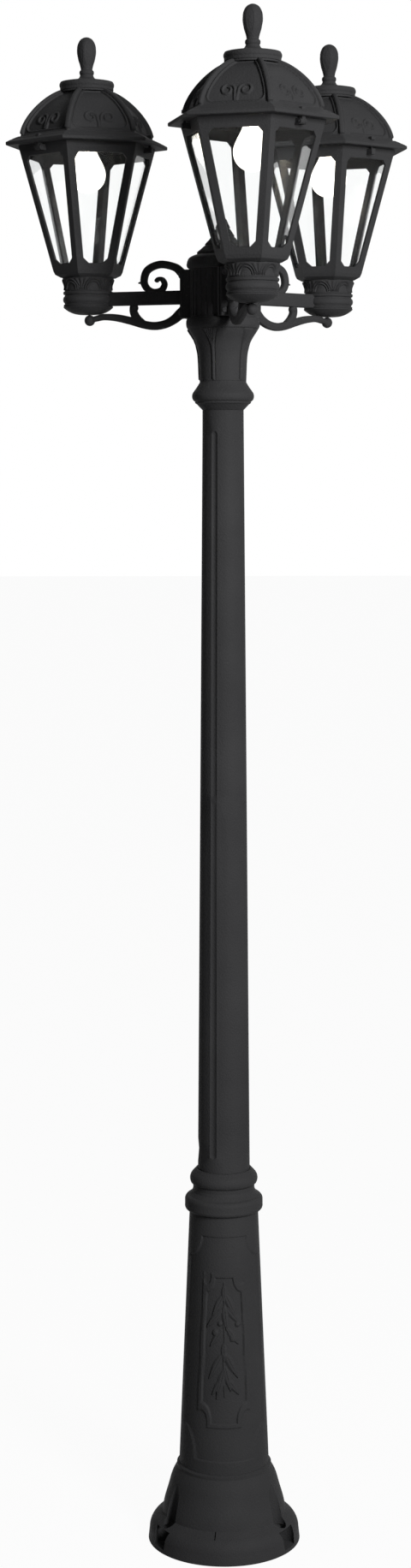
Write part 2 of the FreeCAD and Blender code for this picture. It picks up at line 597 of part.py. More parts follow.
NIPPLE_LOW = Z_SEAT_TOP - SHEET - SEAT_NUT_H - 2
NIPPLE_HIGH = Z_CAGE + SHEET + SEAT_NUT_H + 2


def make_seat_nipples():
    """Hollow threaded tubes through the arm seats, collars and cages."""
    bore = rod(NIPPLE_BORE, NIPPLE_LOW - 1, NIPPLE_HIGH + 1)
    return at_seats(rod(NIPPLE_R, NIPPLE_LOW, NIPPLE_HIGH).cut(bore))


def make_seat_nuts():
    """Nuts at both ends of each nipple."""
    bore = rod(NIPPLE_R + THREAD_GAP, NIPPLE_LOW - 1, NIPPLE_HIGH + 1)
    low = hex_prism(SEAT_NUT_AF, Z_SEAT_TOP - SHEET - GAP - SEAT_NUT_H, SEAT_NUT_H).cut(bore)
    high = hex_prism(SEAT_NUT_AF, Z_CAGE + SHEET + GAP, SEAT_NUT_H).cut(bore)
    return at_seats(Part.makeCompound([low, high]))


def make_bowl():
    """Round bowl that closes the seat from below; at the lantern's own axis."""
    top = Z_SEAT - GAP
    lip_r = SEAT_R - SEAT_WALL - GAP
    outer = lathe((0, top - BOWL_H), (BOWL_FOOT_R, top - BOWL_H),
                  (0.75 * SEAT_R, top - 0.66 * BOWL_H, SEAT_R - 0.6, top - 1.5), (SEAT_R - 0.6, top),
                  (lip_r, top), (lip_r, top + 5), (0, top + 5))
    hollow = lathe((0, top - BOWL_H + 3), (BOWL_FOOT_R - 2, top - BOWL_H + 3),
                   (lip_r - 3, top - 1), (lip_r - 3, top + 6), (0, top + 6))
    return outer.cut(hollow)


# ------------------------------------------------------------------ lantern pieces, about their own axis
def make_necklet():
    """Round collar under the cage."""
    z = Z_NECKLET
    return lathe((NIPPLE_R + GAP, z), (NECKLET_FOOT_R, z), (NECKLET_FOOT_R, z + 2),
                 (NECKLET_FOOT_R - 0.6, z + 9, NECKLET_TOP_R - 0.6, Z_NECKLET_TOP - 4),
                 (NECKLET_TOP_R, Z_NECKLET_TOP - 2), (NECKLET_TOP_R, Z_NECKLET_TOP),
                 (NECKLET_TOP_R - 2 * SHEET, Z_NECKLET_TOP), (NECKLET_FOOT_R - SHEET, z + SHEET),
                 (NIPPLE_R + GAP, z + SHEET))


def cage_corner(z):
    """Hexagon circumradius of the cage's outside."""
    low = Z_CAGE + CAGE_FOOT_H
    return CAGE_CORNER_FOOT + (CAGE_CORNER_TOP - CAGE_CORNER_FOOT) * (z - low) / (Z_CAGE_TOP - low)


SLANT_WALL = SHEET / math.cos(math.radians(30))


def make_cage():
    """Six-sided frame with a window in each face, hinge ears and catch lugs."""
    low = Z_CAGE + CAGE_FOOT_H
    outer = hex_stack([(CAGE_CORNER_FLOOR, Z_CAGE), (CAGE_CORNER_FOOT - 3, Z_CAGE + 0.45 * CAGE_FOOT_H),
                       (CAGE_CORNER_FOOT, low), (CAGE_CORNER_TOP, Z_CAGE_TOP)])
    inner = hex_stack([(CAGE_CORNER_FLOOR - SLANT_WALL, Z_CAGE + SHEET), (cage_corner(low) - SLANT_WALL, low),
                       (cage_corner(Z_CAGE_TOP + 1) - SLANT_WALL, Z_CAGE_TOP + 1)])
    frame = outer.cut(inner)
    sill = Z_CAGE + SILL_H
    head = Z_CAGE_TOP - FRIEZE_H
    c = WINDOW_CHAMFER
    wide = [(cage_corner(z) / 2 - STRUT_W, z) for z in (sill, sill + c, head - c, head)]
    half = [(wide[0][0] - c, sill), wide[1], wide[2], (wide[3][0] - c, head)]
    points = half + [(-w, z) for w, z in reversed(half)]
    window = Part.Face(Part.makePolygon([V(20, y, z) for y, z in points + points[:1]]))
    window = window.extrude(V(CAGE_CORNER_TOP, 0, 0))
    cuts = ring_of(window, 6, 30)
    fittings = []
    wall_in = HINGE_REACH - 11
    for side in (-1, 1):
        y = side * (KNUCKLE_W / 2 + PIN_GAP * 4 + EAR_T / 2) - EAR_T / 2
        eye = Part.makeCylinder(KNUCKLE_R, EAR_T, V(HINGE_REACH, y, Z_PIN), V(0, 1, 0))
        web = Part.makeBox(HINGE_REACH - wall_in, EAR_T, 2 * KNUCKLE_R, V(wall_in, y, Z_PIN - KNUCKLE_R))
        fittings += [p.rotated(V(0, 0, 0), UP, HINGE_AZ) for p in (eye, web)]
    lug = Part.makeBox(HINGE_REACH + KNUCKLE_R - wall_in, BLOCK_W, 2 * KNUCKLE_R,
                       V(wall_in, -BLOCK_W / 2, Z_PIN - KNUCKLE_R))
    fittings += [lug.rotated(V(0, 0, 0), UP, a) for a in CATCH_AZ]
    frame = joined([frame] + fittings)
    pin = Part.makeCylinder(PIN_R + THREAD_GAP / 5, 40, V(HINGE_REACH, -20, Z_PIN), V(0, 1, 0))
    socket = rod(STUD_R + SOCKET_GAP, Z_PIN + KNUCKLE_R - STUD_DROP, Z_CAGE_TOP)
    socket = socket.translated(V(HINGE_REACH, 0, 0))
    cuts += [inner, pin.rotated(V(0, 0, 0), UP, HINGE_AZ), rod(NIPPLE_R + GAP, Z_CAGE - 1, low)]
    cuts += [socket.rotated(V(0, 0, 0), UP, a) for a in CATCH_AZ]
    return frame.cut(cuts)


def make_diffuser():
    """Clear tapered cup of six panes, open at the top, inside the cage."""
    low = Z_CAGE + PANE_FLOOR
    high = Z_CAGE_TOP - PANE_BELOW_RIM
    off = SLANT_WALL + GAP * 2
    thick = PANE_T / math.cos(math.radians(30))
    outer = hex_stack([(cage_corner(low) - off, low), (cage_corner(high) - off, high)])
    inner = hex_stack([(cage_corner(low + PANE_T) - off - thick, low + PANE_T),
                       (cage_corner(high + 1) - off - thick, high + 1)])
    return outer.cut(inner)


def make_hinge_pin():
    """Steel pin through the ears and the roof's knuckle."""
    length = KNUCKLE_W + 2 * EAR_T + 2
    pin = Part.makeCylinder(PIN_R, length, V(HINGE_REACH, -length / 2, Z_PIN), V(0, 1, 0))
    return pin.rotated(V(0, 0, 0), UP, HINGE_AZ)


DOME_CURVE = ((0.0, 0.0), (0.14, 0.04), (0.38, 0.155), (0.63, 0.37), (0.78, 0.585), (0.92, 0.80), (1.0, 1.0))


def dome_sections(inset, top_drop):
    """Hexagons of the dome as (circumradius, z), drawn in by an inset."""
    span = DOME_CORNER - DOME_TOP_CORNER
    return [(DOME_CORNER - span * out - inset, Z_DOME + (DOME_H - top_drop) * up) for up, out in DOME_CURVE]


def make_roof():
    """Hexagonal dome with a wide eave, a hinge knuckle and a block on three faces."""
    eave = hex_stack([(EAVE_CORNER, Z_ROOF), (EAVE_CORNER, Z_ROOF + EAVE_LIP), (DOME_CORNER, Z_DOME)])
    dome = hex_stack(dome_sections(0, 0), smooth=True)
    hollow = hex_stack(dome_sections(SLANT_WALL, SHEET), smooth=True)
    well = hex_stack([(RIM_CORNER, Z_ROOF - 1), (DOME_CORNER - SLANT_WALL, Z_DOME)])
    shell = joined([eave, dome]).cut([well, hollow])
    block = Part.makeBox(BLOCK_L, BLOCK_W, BLOCK_H + 6,
                         V(HINGE_REACH - BLOCK_L / 2, -BLOCK_W / 2, Z_ROOF + EAVE_LIP - 3))
    knuckle = Part.makeCylinder(KNUCKLE_R, KNUCKLE_W, V(HINGE_REACH, -KNUCKLE_W / 2, Z_PIN), V(0, 1, 0))
    neck = Part.makeBox(2 * KNUCKLE_R, KNUCKLE_W, Z_ROOF + 1 - Z_PIN,
                        V(HINGE_REACH - KNUCKLE_R, -KNUCKLE_W / 2, Z_PIN))
    hinge = [p.rotated(V(0, 0, 0), UP, HINGE_AZ) for p in (block, knuckle, neck)]
    shell = joined([shell] + hinge)
    pin = Part.makeCylinder(PIN_R + PIN_GAP, 30, V(HINGE_REACH, -15, Z_PIN), V(0, 1, 0))
    stud = rod(STUD_R + THREAD_GAP, Z_ROOF - 1, Z_DOME).translated(V(HINGE_REACH, 0, 0))
    cuts = [pin.rotated(V(0, 0, 0), UP, HINGE_AZ), rod(STEM_R + GAP, Z_DOME, Z_DOME_TOP + 1)]
    cuts += [stud.rotated(V(0, 0, 0), UP, a) for a in CATCH_AZ]
    return shell.cut(cuts)


def make_catch_studs():
    """Two snap studs: a block on the eave and a round-nosed pin into the cage's lug."""
    tip = Z_ROOF - STUD_DROP + 2
    skirt = Z_ROOF + EAVE_LIP + SKIRT_H * 0.75
    head = Part.makeBox(BLOCK_L, BLOCK_W, BLOCK_H, V(HINGE_REACH - BLOCK_L / 2, -BLOCK_W / 2, skirt - 2))
    pin = rod(STUD_R, tip, skirt + 1).translated(V(HINGE_REACH, 0, 0))
    nose = Part.makeSphere(STUD_R, V(HINGE_REACH, 0, tip))
    cover = hex_stack([(EAVE_CORNER + GAP, Z_ROOF), (EAVE_CORNER + GAP, Z_ROOF + EAVE_LIP),
                       (DOME_CORNER + GAP, Z_DOME)]).rotated(V(0, 0, 0), UP, 30)
    stud = joined([head.cut(cover), pin, nose])
    return Part.makeCompound([stud.rotated(V(0, 0, 0), UP, a) for a in CATCH_AZ])


def make_vent_cap():
    """Round stepped cap on top of the dome."""
    z = Z_VENT
    flat = VENT_R - 2.1
    top = z + VENT_H
    outer = lathe((STEM_R + GAP, z), (flat, z), (flat, z + 2.5), (flat + 1.2, z + 3.5), (flat + 1.2, z + 8),
                  (VENT_R, z + 10, VENT_R, z + 14), (VENT_R - 1.5, z + 17),
                  (0.78 * VENT_R, z + 18.6, 0.44 * VENT_R, top), (STEM_R + GAP, top))
    hollow = lathe((STEM_R + 6, z - 1), (flat - SHEET, z - 1), (flat - SHEET, z + 7),
                   (0.5 * VENT_R, top - SHEET), (STEM_R + 6, top - SHEET))
    return outer.cut(hollow)


def make_finial():
    """Club-shaped knob, tapped from below."""
    z = Z_FINIAL
    h = FINIAL_H
    r = FINIAL_R
    body = lathe((0, z), (1.16 * r, z), (0.80 * r, z + 2.5, 0.66 * r, z + 7.5), (0.72 * r, z + 9),
                 (0.72 * r, z + 14), (0.60 * r, z + 16),
                 [(0.68 * r, z + 0.33 * h), (0.86 * r, z + 0.46 * h), (0.985 * r, z + 0.60 * h),
                  (r, z + 0.70 * h), (0.90 * r, z + 0.83 * h), (0.62 * r, z + 0.94 * h), (0.0, z + h)])
    return body.cut(rod(STEM_R + THREAD_GAP, z - 1, z + STEM_IN_FINIAL + 1))


STEM_IN_FINIAL = 11.0


def make_lampholder():
    """Screw-in lampholder with the threaded stem that also carries cap and finial."""
    z = Z_ROOF + HOLDER_DROP
    body = lathe((HOLDER_BORE, z), (HOLDER_R, z), (HOLDER_R, z + 0.55 * HOLDER_H),
                 (HOLDER_R - 3, z + 0.62 * HOLDER_H), (HOLDER_R - 3, z + 0.82 * HOLDER_H),
                 (HOLDER_R - 5, z + 0.95 * HOLDER_H, 8, z + HOLDER_H), (0, z + HOLDER_H),
                 (0, z + 0.78 * HOLDER_H), (HOLDER_BORE, z + 0.78 * HOLDER_H))
    stem = rod(STEM_R, z + HOLDER_H - 2, Z_FINIAL + STEM_IN_FINIAL)
    nut = hex_prism(17, Z_DOME_TOP - SHEET - GAP - 6, 5)
    return joined([body, stem, nut])


Z_BULB_CAP = Z_ROOF + HOLDER_DROP + 4.0
Z_BULB_FOOT = Z_BULB_CAP + BULB_CAP_H + BULB_TIP_H - BULB_LENGTH


def bulb_profile(inset):
    """Half outline of the glass: a ball below and a cosine neck above."""
    middle = Z_BULB_FOOT + BULB_R
    curve = []
    for k in range(1, 7):
        a = math.radians(15 * k)
        curve.append(((BULB_R - inset) * math.sin(a), middle - (BULB_R - inset) * math.cos(a)))
    for k in range(1, 7):
        t = k / 6.0
        r = BULB_NECK_R + (BULB_R - BULB_NECK_R) * 0.5 * (1 + math.cos(math.pi * t))
        curve.append((r - inset, middle + (Z_BULB_CAP - middle) * t))
    return curve


def make_bulb_glass():
    """Clear glass envelope, cap side up."""
    shapes = []
    for inset in (0.0, GLASS_T):
        shapes.append(lathe((0, Z_BULB_FOOT + inset), bulb_profile(inset), (0, Z_BULB_CAP)))
    return shapes[0].cut(shapes[1])


def make_bulb_base():
    """Threaded metal cap with its contact."""
    z = Z_BULB_CAP + THREAD_GAP
    steps = [(0, z), (BULB_CAP_R, z)]
    pitch = 3.6
    turns = int((BULB_CAP_H - 5) / pitch)
    root_r = BULB_CAP_R - 0.9
    steps.append((root_r, z + 3))
    for k in range(turns):
        low = z + 3 + k * pitch
        steps.append((BULB_CAP_R, low + pitch / 2, root_r, low + pitch))
    steps += [(BULB_CAP_R - 3, z + BULB_CAP_H), (5, z + BULB_CAP_H),
              (4.2, z + BULB_CAP_H + BULB_TIP_H * 0.8, TIP_R, z + BULB_CAP_H + BULB_TIP_H),
              (0, z + BULB_CAP_H + BULB_TIP_H)]
    return lathe(*steps)


def make_bulb_stem():
    """Glass stem with the filament rods round a small hub."""
    top = Z_BULB_CAP - GAP
    foot = Z_BULB_FOOT + 0.17 * (Z_BULB_CAP - Z_BULB_FOOT)
    knee = Z_BULB_FOOT + 0.66 * (Z_BULB_CAP - Z_BULB_FOOT)
    stem = lathe((0, foot - 2), (2.5, foot - 2), (2.5, foot + 2), (1.2, foot + 4), (1.2, knee - 6),
                 (4.5, knee), (4.5, top - 10), (8, top), (0, top))
    parts = [stem]
    for k in range(FILAMENTS):
        a = 2 * math.pi * k / FILAMENTS
        side = V(math.cos(a), math.sin(a), 0)
        low = V(0, 0, foot + 3) + side * 10
        high = V(0, 0, knee - 3) + side * 6.5
        axis = high - low
        parts.append(Part.makeCylinder(FILAMENT_R, axis.Length, low, axis))
        for end, z in ((low + axis * 0.03, foot), (high - axis * 0.03, knee)):
            hub = V(0, 0, z)
            wire = end - hub
            parts.append(Part.makeCylinder(0.4, wire.Length, hub, wire))
    return joined(parts)


def place_lantern(shape, arm_azimuth, turn):
    """Move a lantern piece from its own axis to its seat, with its first corner turned."""
    out = shape.copy()
    out.rotate(V(0, 0, 0), UP, HEAD_TURN + arm_azimuth + turn - 90)
    out.translate(direction(HEAD_TURN + arm_azimuth) * ARM_REACH)
    return out


# ------------------------------------------------------------------ build
os.makedirs("parts", exist_ok=True)
save("base_bell", make_base_bell())
save("anchor_bolts", make_anchor_bolts())
save("anchor_washers", make_anchor_washers())
save("core_tube", make_core_tube())
save("core_foot", make_core_foot())
save("core_nut", make_core_nut())
save("pedestal", make_pedestal())
save("pedestal_collar", make_pedestal_collar())
save("post_shaft", make_post_shaft())
save("neck_ring", make_neck_ring())
save("capital", make_capital())
save("hub_body", make_hub_body())
save("hub_cap", make_hub_cap())
save("terminal_block", make_terminal_block())
save("arm_screws", make_arm_screws())
save("seat_nipples", make_seat_nipples())
save("seat_nuts", make_seat_nuts())

arm_shape = make_arm()
for side_name, arm_azimuth, _ in LANTERNS:
    save("arm_" + side_name, turned_to(arm_shape, HEAD_TURN + arm_azimuth))

lantern_shapes = {
    "bowl": make_bowl(),
    "collar": make_necklet(),
    "cage": make_cage(),
    "diffuser": make_diffuser(),
    "hinge_pin": make_hinge_pin(),
    "roof": make_roof(),
    "catch_studs": make_catch_studs(),
    "vent_cap": make_vent_cap(),
    "finial": make_finial(),
    "lampholder": make_lampholder(),
    "bulb_glass": make_bulb_glass(),
    "bulb_base": make_bulb_base(),
    "bulb_stem": make_bulb_stem(),
}
for side_name, arm_azimuth, corner_turn in LANTERNS:
    for piece_name, piece in lantern_shapes.items():
        save("lantern_%s_%s" % (side_name, piece_name), place_lantern(piece, arm_azimuth, corner_turn))
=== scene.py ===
import json
import math

import bpy
import numpy as np
from mathutils import Matrix, Vector


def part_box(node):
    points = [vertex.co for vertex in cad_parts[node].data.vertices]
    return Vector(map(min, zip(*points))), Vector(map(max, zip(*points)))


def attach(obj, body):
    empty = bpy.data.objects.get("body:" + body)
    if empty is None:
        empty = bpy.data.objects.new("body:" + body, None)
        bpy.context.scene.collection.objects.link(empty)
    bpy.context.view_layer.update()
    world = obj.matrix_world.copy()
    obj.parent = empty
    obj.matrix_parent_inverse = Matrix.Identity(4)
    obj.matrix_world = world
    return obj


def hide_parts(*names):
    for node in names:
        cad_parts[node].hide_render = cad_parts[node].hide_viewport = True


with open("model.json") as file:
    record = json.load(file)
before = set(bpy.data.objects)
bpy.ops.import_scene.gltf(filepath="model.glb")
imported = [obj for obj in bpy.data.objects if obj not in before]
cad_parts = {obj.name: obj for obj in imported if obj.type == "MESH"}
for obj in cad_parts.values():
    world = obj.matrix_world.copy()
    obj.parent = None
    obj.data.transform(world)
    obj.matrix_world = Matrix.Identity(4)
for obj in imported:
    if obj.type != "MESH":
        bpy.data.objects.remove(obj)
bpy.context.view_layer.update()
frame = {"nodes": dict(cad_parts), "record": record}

# Shapes are worked out in millimetres and put into the meshes in metres.
MM = 0.001
WELD_DIGITS = 8          # decimals of a metre within which corners are one
SHARP_ANGLE = math.radians(38)
SIDES = ("front", "right", "left")
FACES = 6                # of each lantern's hexagon
HALF_FACE = math.radians(30)
FRONT = math.radians(-90)  # direction from the post towards the camera
GAP = 0.3                # clearance between two stacked parts
NIPPLE_HOLE_R = 6.3      # through seats and collars


# ------------------------------------------------------------------ measuring the frame
def extent(node):
    """Lowest and highest corners of a CAD node in millimetres."""
    low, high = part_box(node)
    return np.array(low) / MM, np.array(high) / MM


def axis_of(node):
    """Centre of a round CAD node, seen from above."""
    low, high = extent(node)
    return (low[:2] + high[:2]) / 2


def lantern_node(side, part):
    """Name of a lantern's CAD node."""
    return "lantern_%s_%s" % (side, part)


def lantern_place(side):
    """The lantern's axis, and the direction of its hinge face."""
    axis = axis_of(lantern_node(side, "vent_cap"))
    to_pin = axis_of(lantern_node(side, "hinge_pin")) - axis
    return axis, math.atan2(to_pin[1], to_pin[0])


# ------------------------------------------------------------------ numbers on arrays
SPAN_STEPS = 16          # points worked out between two that a curve is given


def rise(x, half=0.5):
    """Smooth step: 0 below -half, 1 above +half, 3t^2 - 2t^3 between."""
    t = np.clip((x + half) / (2 * half), 0, 1)
    return t * t * (3 - 2 * t)


def bead(distance, half):
    """Round ridge: sqrt(1 - (distance / half)^2) inside half, 0 outside."""
    return np.sqrt(np.clip(1 - (distance / half) ** 2, 0, 1))


def across_face(angle):
    """Place across a hexagon's face, by angle: 0 at its middle, -1 and 1 at its corners."""
    return ((angle + HALF_FACE) % (2 * HALF_FACE) - HALF_FACE) / HALF_FACE


def through(points, count):
    """Catmull-Rom curve through points (any number of columns), resampled to count rows
    evenly by length."""
    p = np.array(points, float)
    p = np.vstack([2 * p[0] - p[1], p, 2 * p[-1] - p[-2]])
    t = np.linspace(0, 1, SPAN_STEPS, endpoint=False)[None, :, None]
    a, b, c, d = (p[k:len(p) - 3 + k, None, :] for k in range(4))
    squares = (2 * a - 5 * b + 4 * c - d) * t ** 2
    cubes = (3 * b - a - 3 * c + d) * t ** 3
    curve = 0.5 * (2 * b + (c - a) * t + squares + cubes)
    return evenly(np.vstack([curve.reshape(-1, p.shape[1]), p[-2:-1]]), count)


def travelled(points):
    """Length of a polyline up to each of its rows, measured in the first two columns."""
    return np.concatenate([[0], np.cumsum(np.hypot(*np.diff(points[:, :2], axis=0).T))])


def evenly(points, count):
    """Polyline resampled to count rows at equal steps of its length."""
    p = np.array(points, float)
    gone = travelled(p)
    at = np.linspace(0, gone[-1], count)
    return np.stack([np.interp(at, gone, p[:, k]) for k in range(p.shape[1])], axis=1)


def nearest(x, y, path):
    """Distance from each (x, y) to the closest piece of a polyline, and how far along it,
    from 0 to 1."""
    best = np.full(np.shape(x), 1e9)
    along = np.zeros(np.shape(x))
    count = len(path) - 1
    for k in range(count):
        (ax, ay), (bx, by) = path[k], path[k + 1]
        dx, dy = bx - ax, by - ay
        t = np.clip(((x - ax) * dx + (y - ay) * dy) / (dx * dx + dy * dy + 1e-12), 0, 1)
        d = np.hypot(x - ax - t * dx, y - ay - t * dy)
        along = np.where(d < best, (k + t) / count, along)
        best = np.minimum(d, best)
    return best, along


def turned(points, angle, at=(0.0, 0.0)):
    """Points turned about the Z axis by angle, then moved in X and Y."""
    c, s = math.cos(angle), math.sin(angle)
    out = points.copy()
    out[..., 0] = points[..., 0] * c - points[..., 1] * s + at[0]
    out[..., 1] = points[..., 0] * s + points[..., 1] * c + at[1]
    return out


def moved(points, x, z):
    """List of the pairs (across, up) of an outline, moved by x and z."""
    return [(x + a, z + b) for a, b in points]


# ------------------------------------------------------------------ grids of points into meshes
def circle(count):
    """Angles at count equal steps round a circle."""
    return np.linspace(0, 2 * np.pi, count, endpoint=False)


def columns(profile):
    """Radii and heights of a profile, each as a column."""
    return np.array(profile, float).T[:, :, None]


def around(radius, z, angle):
    """Points at (radius, angle) and height z, all arrays that fit each other's shape."""
    return np.stack([radius * np.cos(angle), radius * np.sin(angle), z + 0 * angle], axis=-1)


def hoops(profile, angle):
    """Surface of revolution: each (radius, height) of the profile, at every angle."""
    radius, z = columns(profile)
    return around(radius + 0 * angle, z, angle)


def shell(grid, ring=True):
    """Vertices and quads of a grid that closes round its columns, and over its rows where
    ring is true. The faces point outwards: the sign of the enclosed volume decides."""
    rows, cols = grid.shape[:2]
    top = rows if ring else rows - 1
    i, j = np.meshgrid(np.arange(top), np.arange(cols), indexing="ij")
    i2, j2 = (i + 1) % rows, (j + 1) % cols
    quads = np.stack([i * cols + j, i * cols + j2, i2 * cols + j2, i2 * cols + j], axis=-1)
    quads = quads.reshape(-1, 4)
    points = grid.reshape(-1, 3)
    a, b, c, d = (points[quads[:, k]] for k in range(4))
    volume = np.einsum("ij,ij->i", a, np.cross(b, c) + np.cross(c, d)).sum()
    return points, (quads if volume > 0 else quads[:, ::-1])


def mesh_of(name, shells, body, finish, replaces):
    """One object from closed shells: coincident corners are welded, so poles close, and
    quads that lose a corner become triangles."""
    points, quads, start = [], [], 0
    for p, q in shells:
        points.append(p)
        quads.append(q + start)
        start += len(p)
    points, quads = np.vstack(points) * MM, np.vstack(quads)
    keys, back = np.unique(np.round(points, WELD_DIGITS), axis=0, return_inverse=True)
    quads = back.reshape(-1)[quads]
    same = quads == np.roll(quads, -1, axis=1)
    whole = quads[~same.any(axis=1)]
    folded, gap = quads[same.sum(axis=1) == 1], same[same.sum(axis=1) == 1]
    turn = (np.argmax(gap, axis=1)[:, None] + np.arange(1, 4)) % 4
    threes = np.take_along_axis(folded, turn, axis=1)
    mesh = bpy.data.meshes.new(name)
    mesh.vertices.add(len(keys))
    mesh.vertices.foreach_set("co", keys.ravel())
    loops = np.concatenate([whole.ravel(), threes.ravel()])
    totals = np.concatenate([np.full(len(whole), 4), np.full(len(threes), 3)])
    starts = np.concatenate([[0], np.cumsum(totals)[:-1]])
    mesh.loops.add(len(loops))
    mesh.loops.foreach_set("vertex_index", loops)
    mesh.polygons.add(len(totals))
    mesh.polygons.foreach_set("loop_start", starts)
    mesh.polygons.foreach_set("loop_total", totals)
    mesh.update(calc_edges=True)
    mesh.validate()
    mesh.polygons.foreach_set("use_smooth", np.ones(len(mesh.polygons), bool))
    mesh.set_sharp_from_angle(angle=SHARP_ANGLE)
    mesh.materials.append(finish)
    piece = bpy.data.objects.new(name, mesh)
    bpy.context.scene.collection.objects.link(piece)
    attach(piece, body)
    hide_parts(*replaces)


# ------------------------------------------------------------------ shader expressions
class Wire:
    """A number socket in a node tree; arithmetic on it adds Math nodes."""

    def __init__(self, paint, socket):
        self.paint, self.socket = paint, socket

    def __add__(self, other):
        return self.paint.math("ADD", self, other)

    def __mul__(self, other):
        return self.paint.math("MULTIPLY", self, other)

    __radd__, __rmul__ = __add__, __mul__


class Paint:
    """The nodes of a material or a world under construction, with one method that adds any."""

    def __init__(self, owner):
        owner.use_nodes = True
        self.owner = owner
        self.tree = owner.node_tree
        self.tree.nodes.clear()

    def node(self, kind, settings=None, **sockets):
        """Add a node: settings first, then its sockets; a key _N is the socket's number."""
        made = self.tree.nodes.new("ShaderNode" + kind)
        for key, value in (settings or {}).items():
            setattr(made, key, value)
        for key, value in sockets.items():
            socket = made.inputs[int(key[1:]) if key[0] == "_" else key.replace("_", " ")]
            if isinstance(value, Wire):
                value = value.socket
            if isinstance(value, bpy.types.NodeSocket):
                self.tree.links.new(value, socket)
            else:
                socket.default_value = value
        return made

    def math(self, operation, a, b):
        """Math node on two numbers or wires."""
        made = self.node("Math", {"operation": operation}, _0=a, _1=b)
        return Wire(self, made.outputs[0])

    def place(self):
        """The piece's own coordinates, in metres."""
        return self.node("TexCoord").outputs["Object"]

    def noise(self, scale, detail=2.0, rough=0.5):
        """Noise from 0 to 1 at scale cells per metre."""
        made = self.node("TexNoise", Vector=self.place(), Scale=scale, Detail=detail,
                         Roughness=rough)
        return Wire(self, made.outputs["Fac"])

    def cells(self, scale):
        """Distance inside rounded cells, at scale cells per metre."""
        made = self.node("TexVoronoi", {"feature": "F1"}, Vector=self.place(), Scale=scale)
        return Wire(self, made.outputs["Distance"])

    def blend(self, amount, dark, light):
        """Colour between two, by amount from 0 to 1."""
        made = self.node("Mix", {"data_type": "RGBA"}, _0=amount, _6=dark + (1,), _7=light + (1,))
        return made.outputs[2]

    def bump(self, height, strength, distance):
        """Normal of a surface raised by height over distance metres."""
        made = self.node("Bump", Height=height, Strength=strength, Distance=distance)
        return made.outputs["Normal"]

    def seen(self):
        """1 on a ray from the camera, a gloss or a glass, 0 on any other."""
        rays = self.node("LightPath").outputs
        glossy = self.math("MAXIMUM", rays["Is Camera Ray"], rays["Is Glossy Ray"])
        return self.math("MAXIMUM", glossy, rays["Is Transmission Ray"])

    def surface(self, **sockets):
        """Finish the material with one principled shader."""
        shader = self.node("BsdfPrincipled", **sockets)
        self.node("OutputMaterial", Surface=shader.outputs[0])
        return self.owner


def painted(name):
    """Start a new material."""
    return Paint(bpy.data.materials.new(name))


WHITE = (1.0, 1.0, 1.0, 1.0)


def resin():
    """Satin black moulded resin: fine leathery grain of rounded cells and noise, colour and
    gloss worn in patches by two scales of noise."""
    p = painted("black_resin")
    grain = p.noise(620, 3.0, 0.6)
    leather = p.cells(330)
    cloud = p.noise(9, 4.0, 0.55)
    wear = cloud * 0.6 + grain * 0.4
    height = leather * 0.7 + grain * 0.5
    return p.surface(Base_Color=p.blend(wear, (0.018, 0.018, 0.019), (0.042, 0.042, 0.043)),
                     Roughness=0.45 + grain * 0.16 + cloud * 0.08, Specular_IOR_Level=0.02,
                     Normal=p.bump(height, 0.6, 0.0009))


def coated_steel():
    """Black coated fastener: smoother than the resin, with rubbed patches."""
    p = painted("black_steel")
    rub = p.noise(150, 4.0, 0.6)
    return p.surface(Base_Color=p.blend(rub, (0.018, 0.018, 0.019), (0.045, 0.045, 0.048)),
                     Specular_IOR_Level=0.1, Roughness=0.45 + rub * 0.25,
                     Normal=p.bump(p.noise(900), 0.2, 0.0002))


def galvanised():
    """Zinc coated steel: crystal spangles as cells of slightly different grey and gloss."""
    p = painted("zinc_steel")
    spangle = p.cells(160)
    cloud = p.noise(40, 5.0, 0.6)
    tone = spangle * 0.5 + cloud * 0.5
    return p.surface(Base_Color=p.blend(tone, (0.42, 0.43, 0.45), (0.66, 0.67, 0.68)),
                     Metallic=1.0, Roughness=0.30 + tone * 0.3,
                     Normal=p.bump(spangle, 0.1, 0.0002))


def pane_plastic():
    """Clear panes: very slight moulding ripple and a breath of haze in patches."""
    p = painted("clear_pane")
    ripple = p.noise(30, 1.0)
    haze = p.noise(55, 4.0, 0.6)
    return p.surface(Base_Color=(0.985, 0.992, 0.99, 1), Roughness=haze * 0.015, IOR=1.16,
                     Transmission_Weight=1.0, Normal=p.bump(ripple, 0.03, 0.001))


def lamp_glass():
    """Clear lamp glass, lit from inside by its filaments, with fine blown ripples."""
    p = painted("clear_glass")
    glow = p.noise(60, 2.0, 0.5)
    return p.surface(Base_Color=WHITE, Roughness=glow * 0.03, IOR=1.45, Transmission_Weight=1.0,
                     Emission_Color=p.blend(glow, (1.0, 0.93, 0.80), (1.0, 0.98, 0.93)),
                     Emission_Strength=0.6, Normal=p.bump(p.noise(45, 1.0), 0.04, 0.001))


def filament_glow():
    """Glowing filament rods: bright cores in bands along their coating."""
    p = painted("filament")
    bands = p.noise(420, 2.0, 0.5)
    return p.surface(Base_Color=(1.0, 0.93, 0.78, 1), Roughness=0.35 + bands * 0.2,
                     Emission_Color=p.blend(bands, (1.0, 0.80, 0.52), (1.0, 0.93, 0.80)),
                     Emission_Strength=6.0, Normal=p.bump(bands, 0.2, 0.0003))


def cap_metal():
    """Rolled metal lamp cap: drawn bright metal with faint smudges."""
    p = painted("cap_metal")
    smudge = p.noise(90, 4.0, 0.6)
    return p.surface(Base_Color=p.blend(smudge, (0.58, 0.57, 0.55), (0.80, 0.79, 0.77)),
                     Metallic=1.0, Roughness=0.18 + smudge * 0.25,
                     Normal=p.bump(p.noise(1200), 0.08, 0.0002))


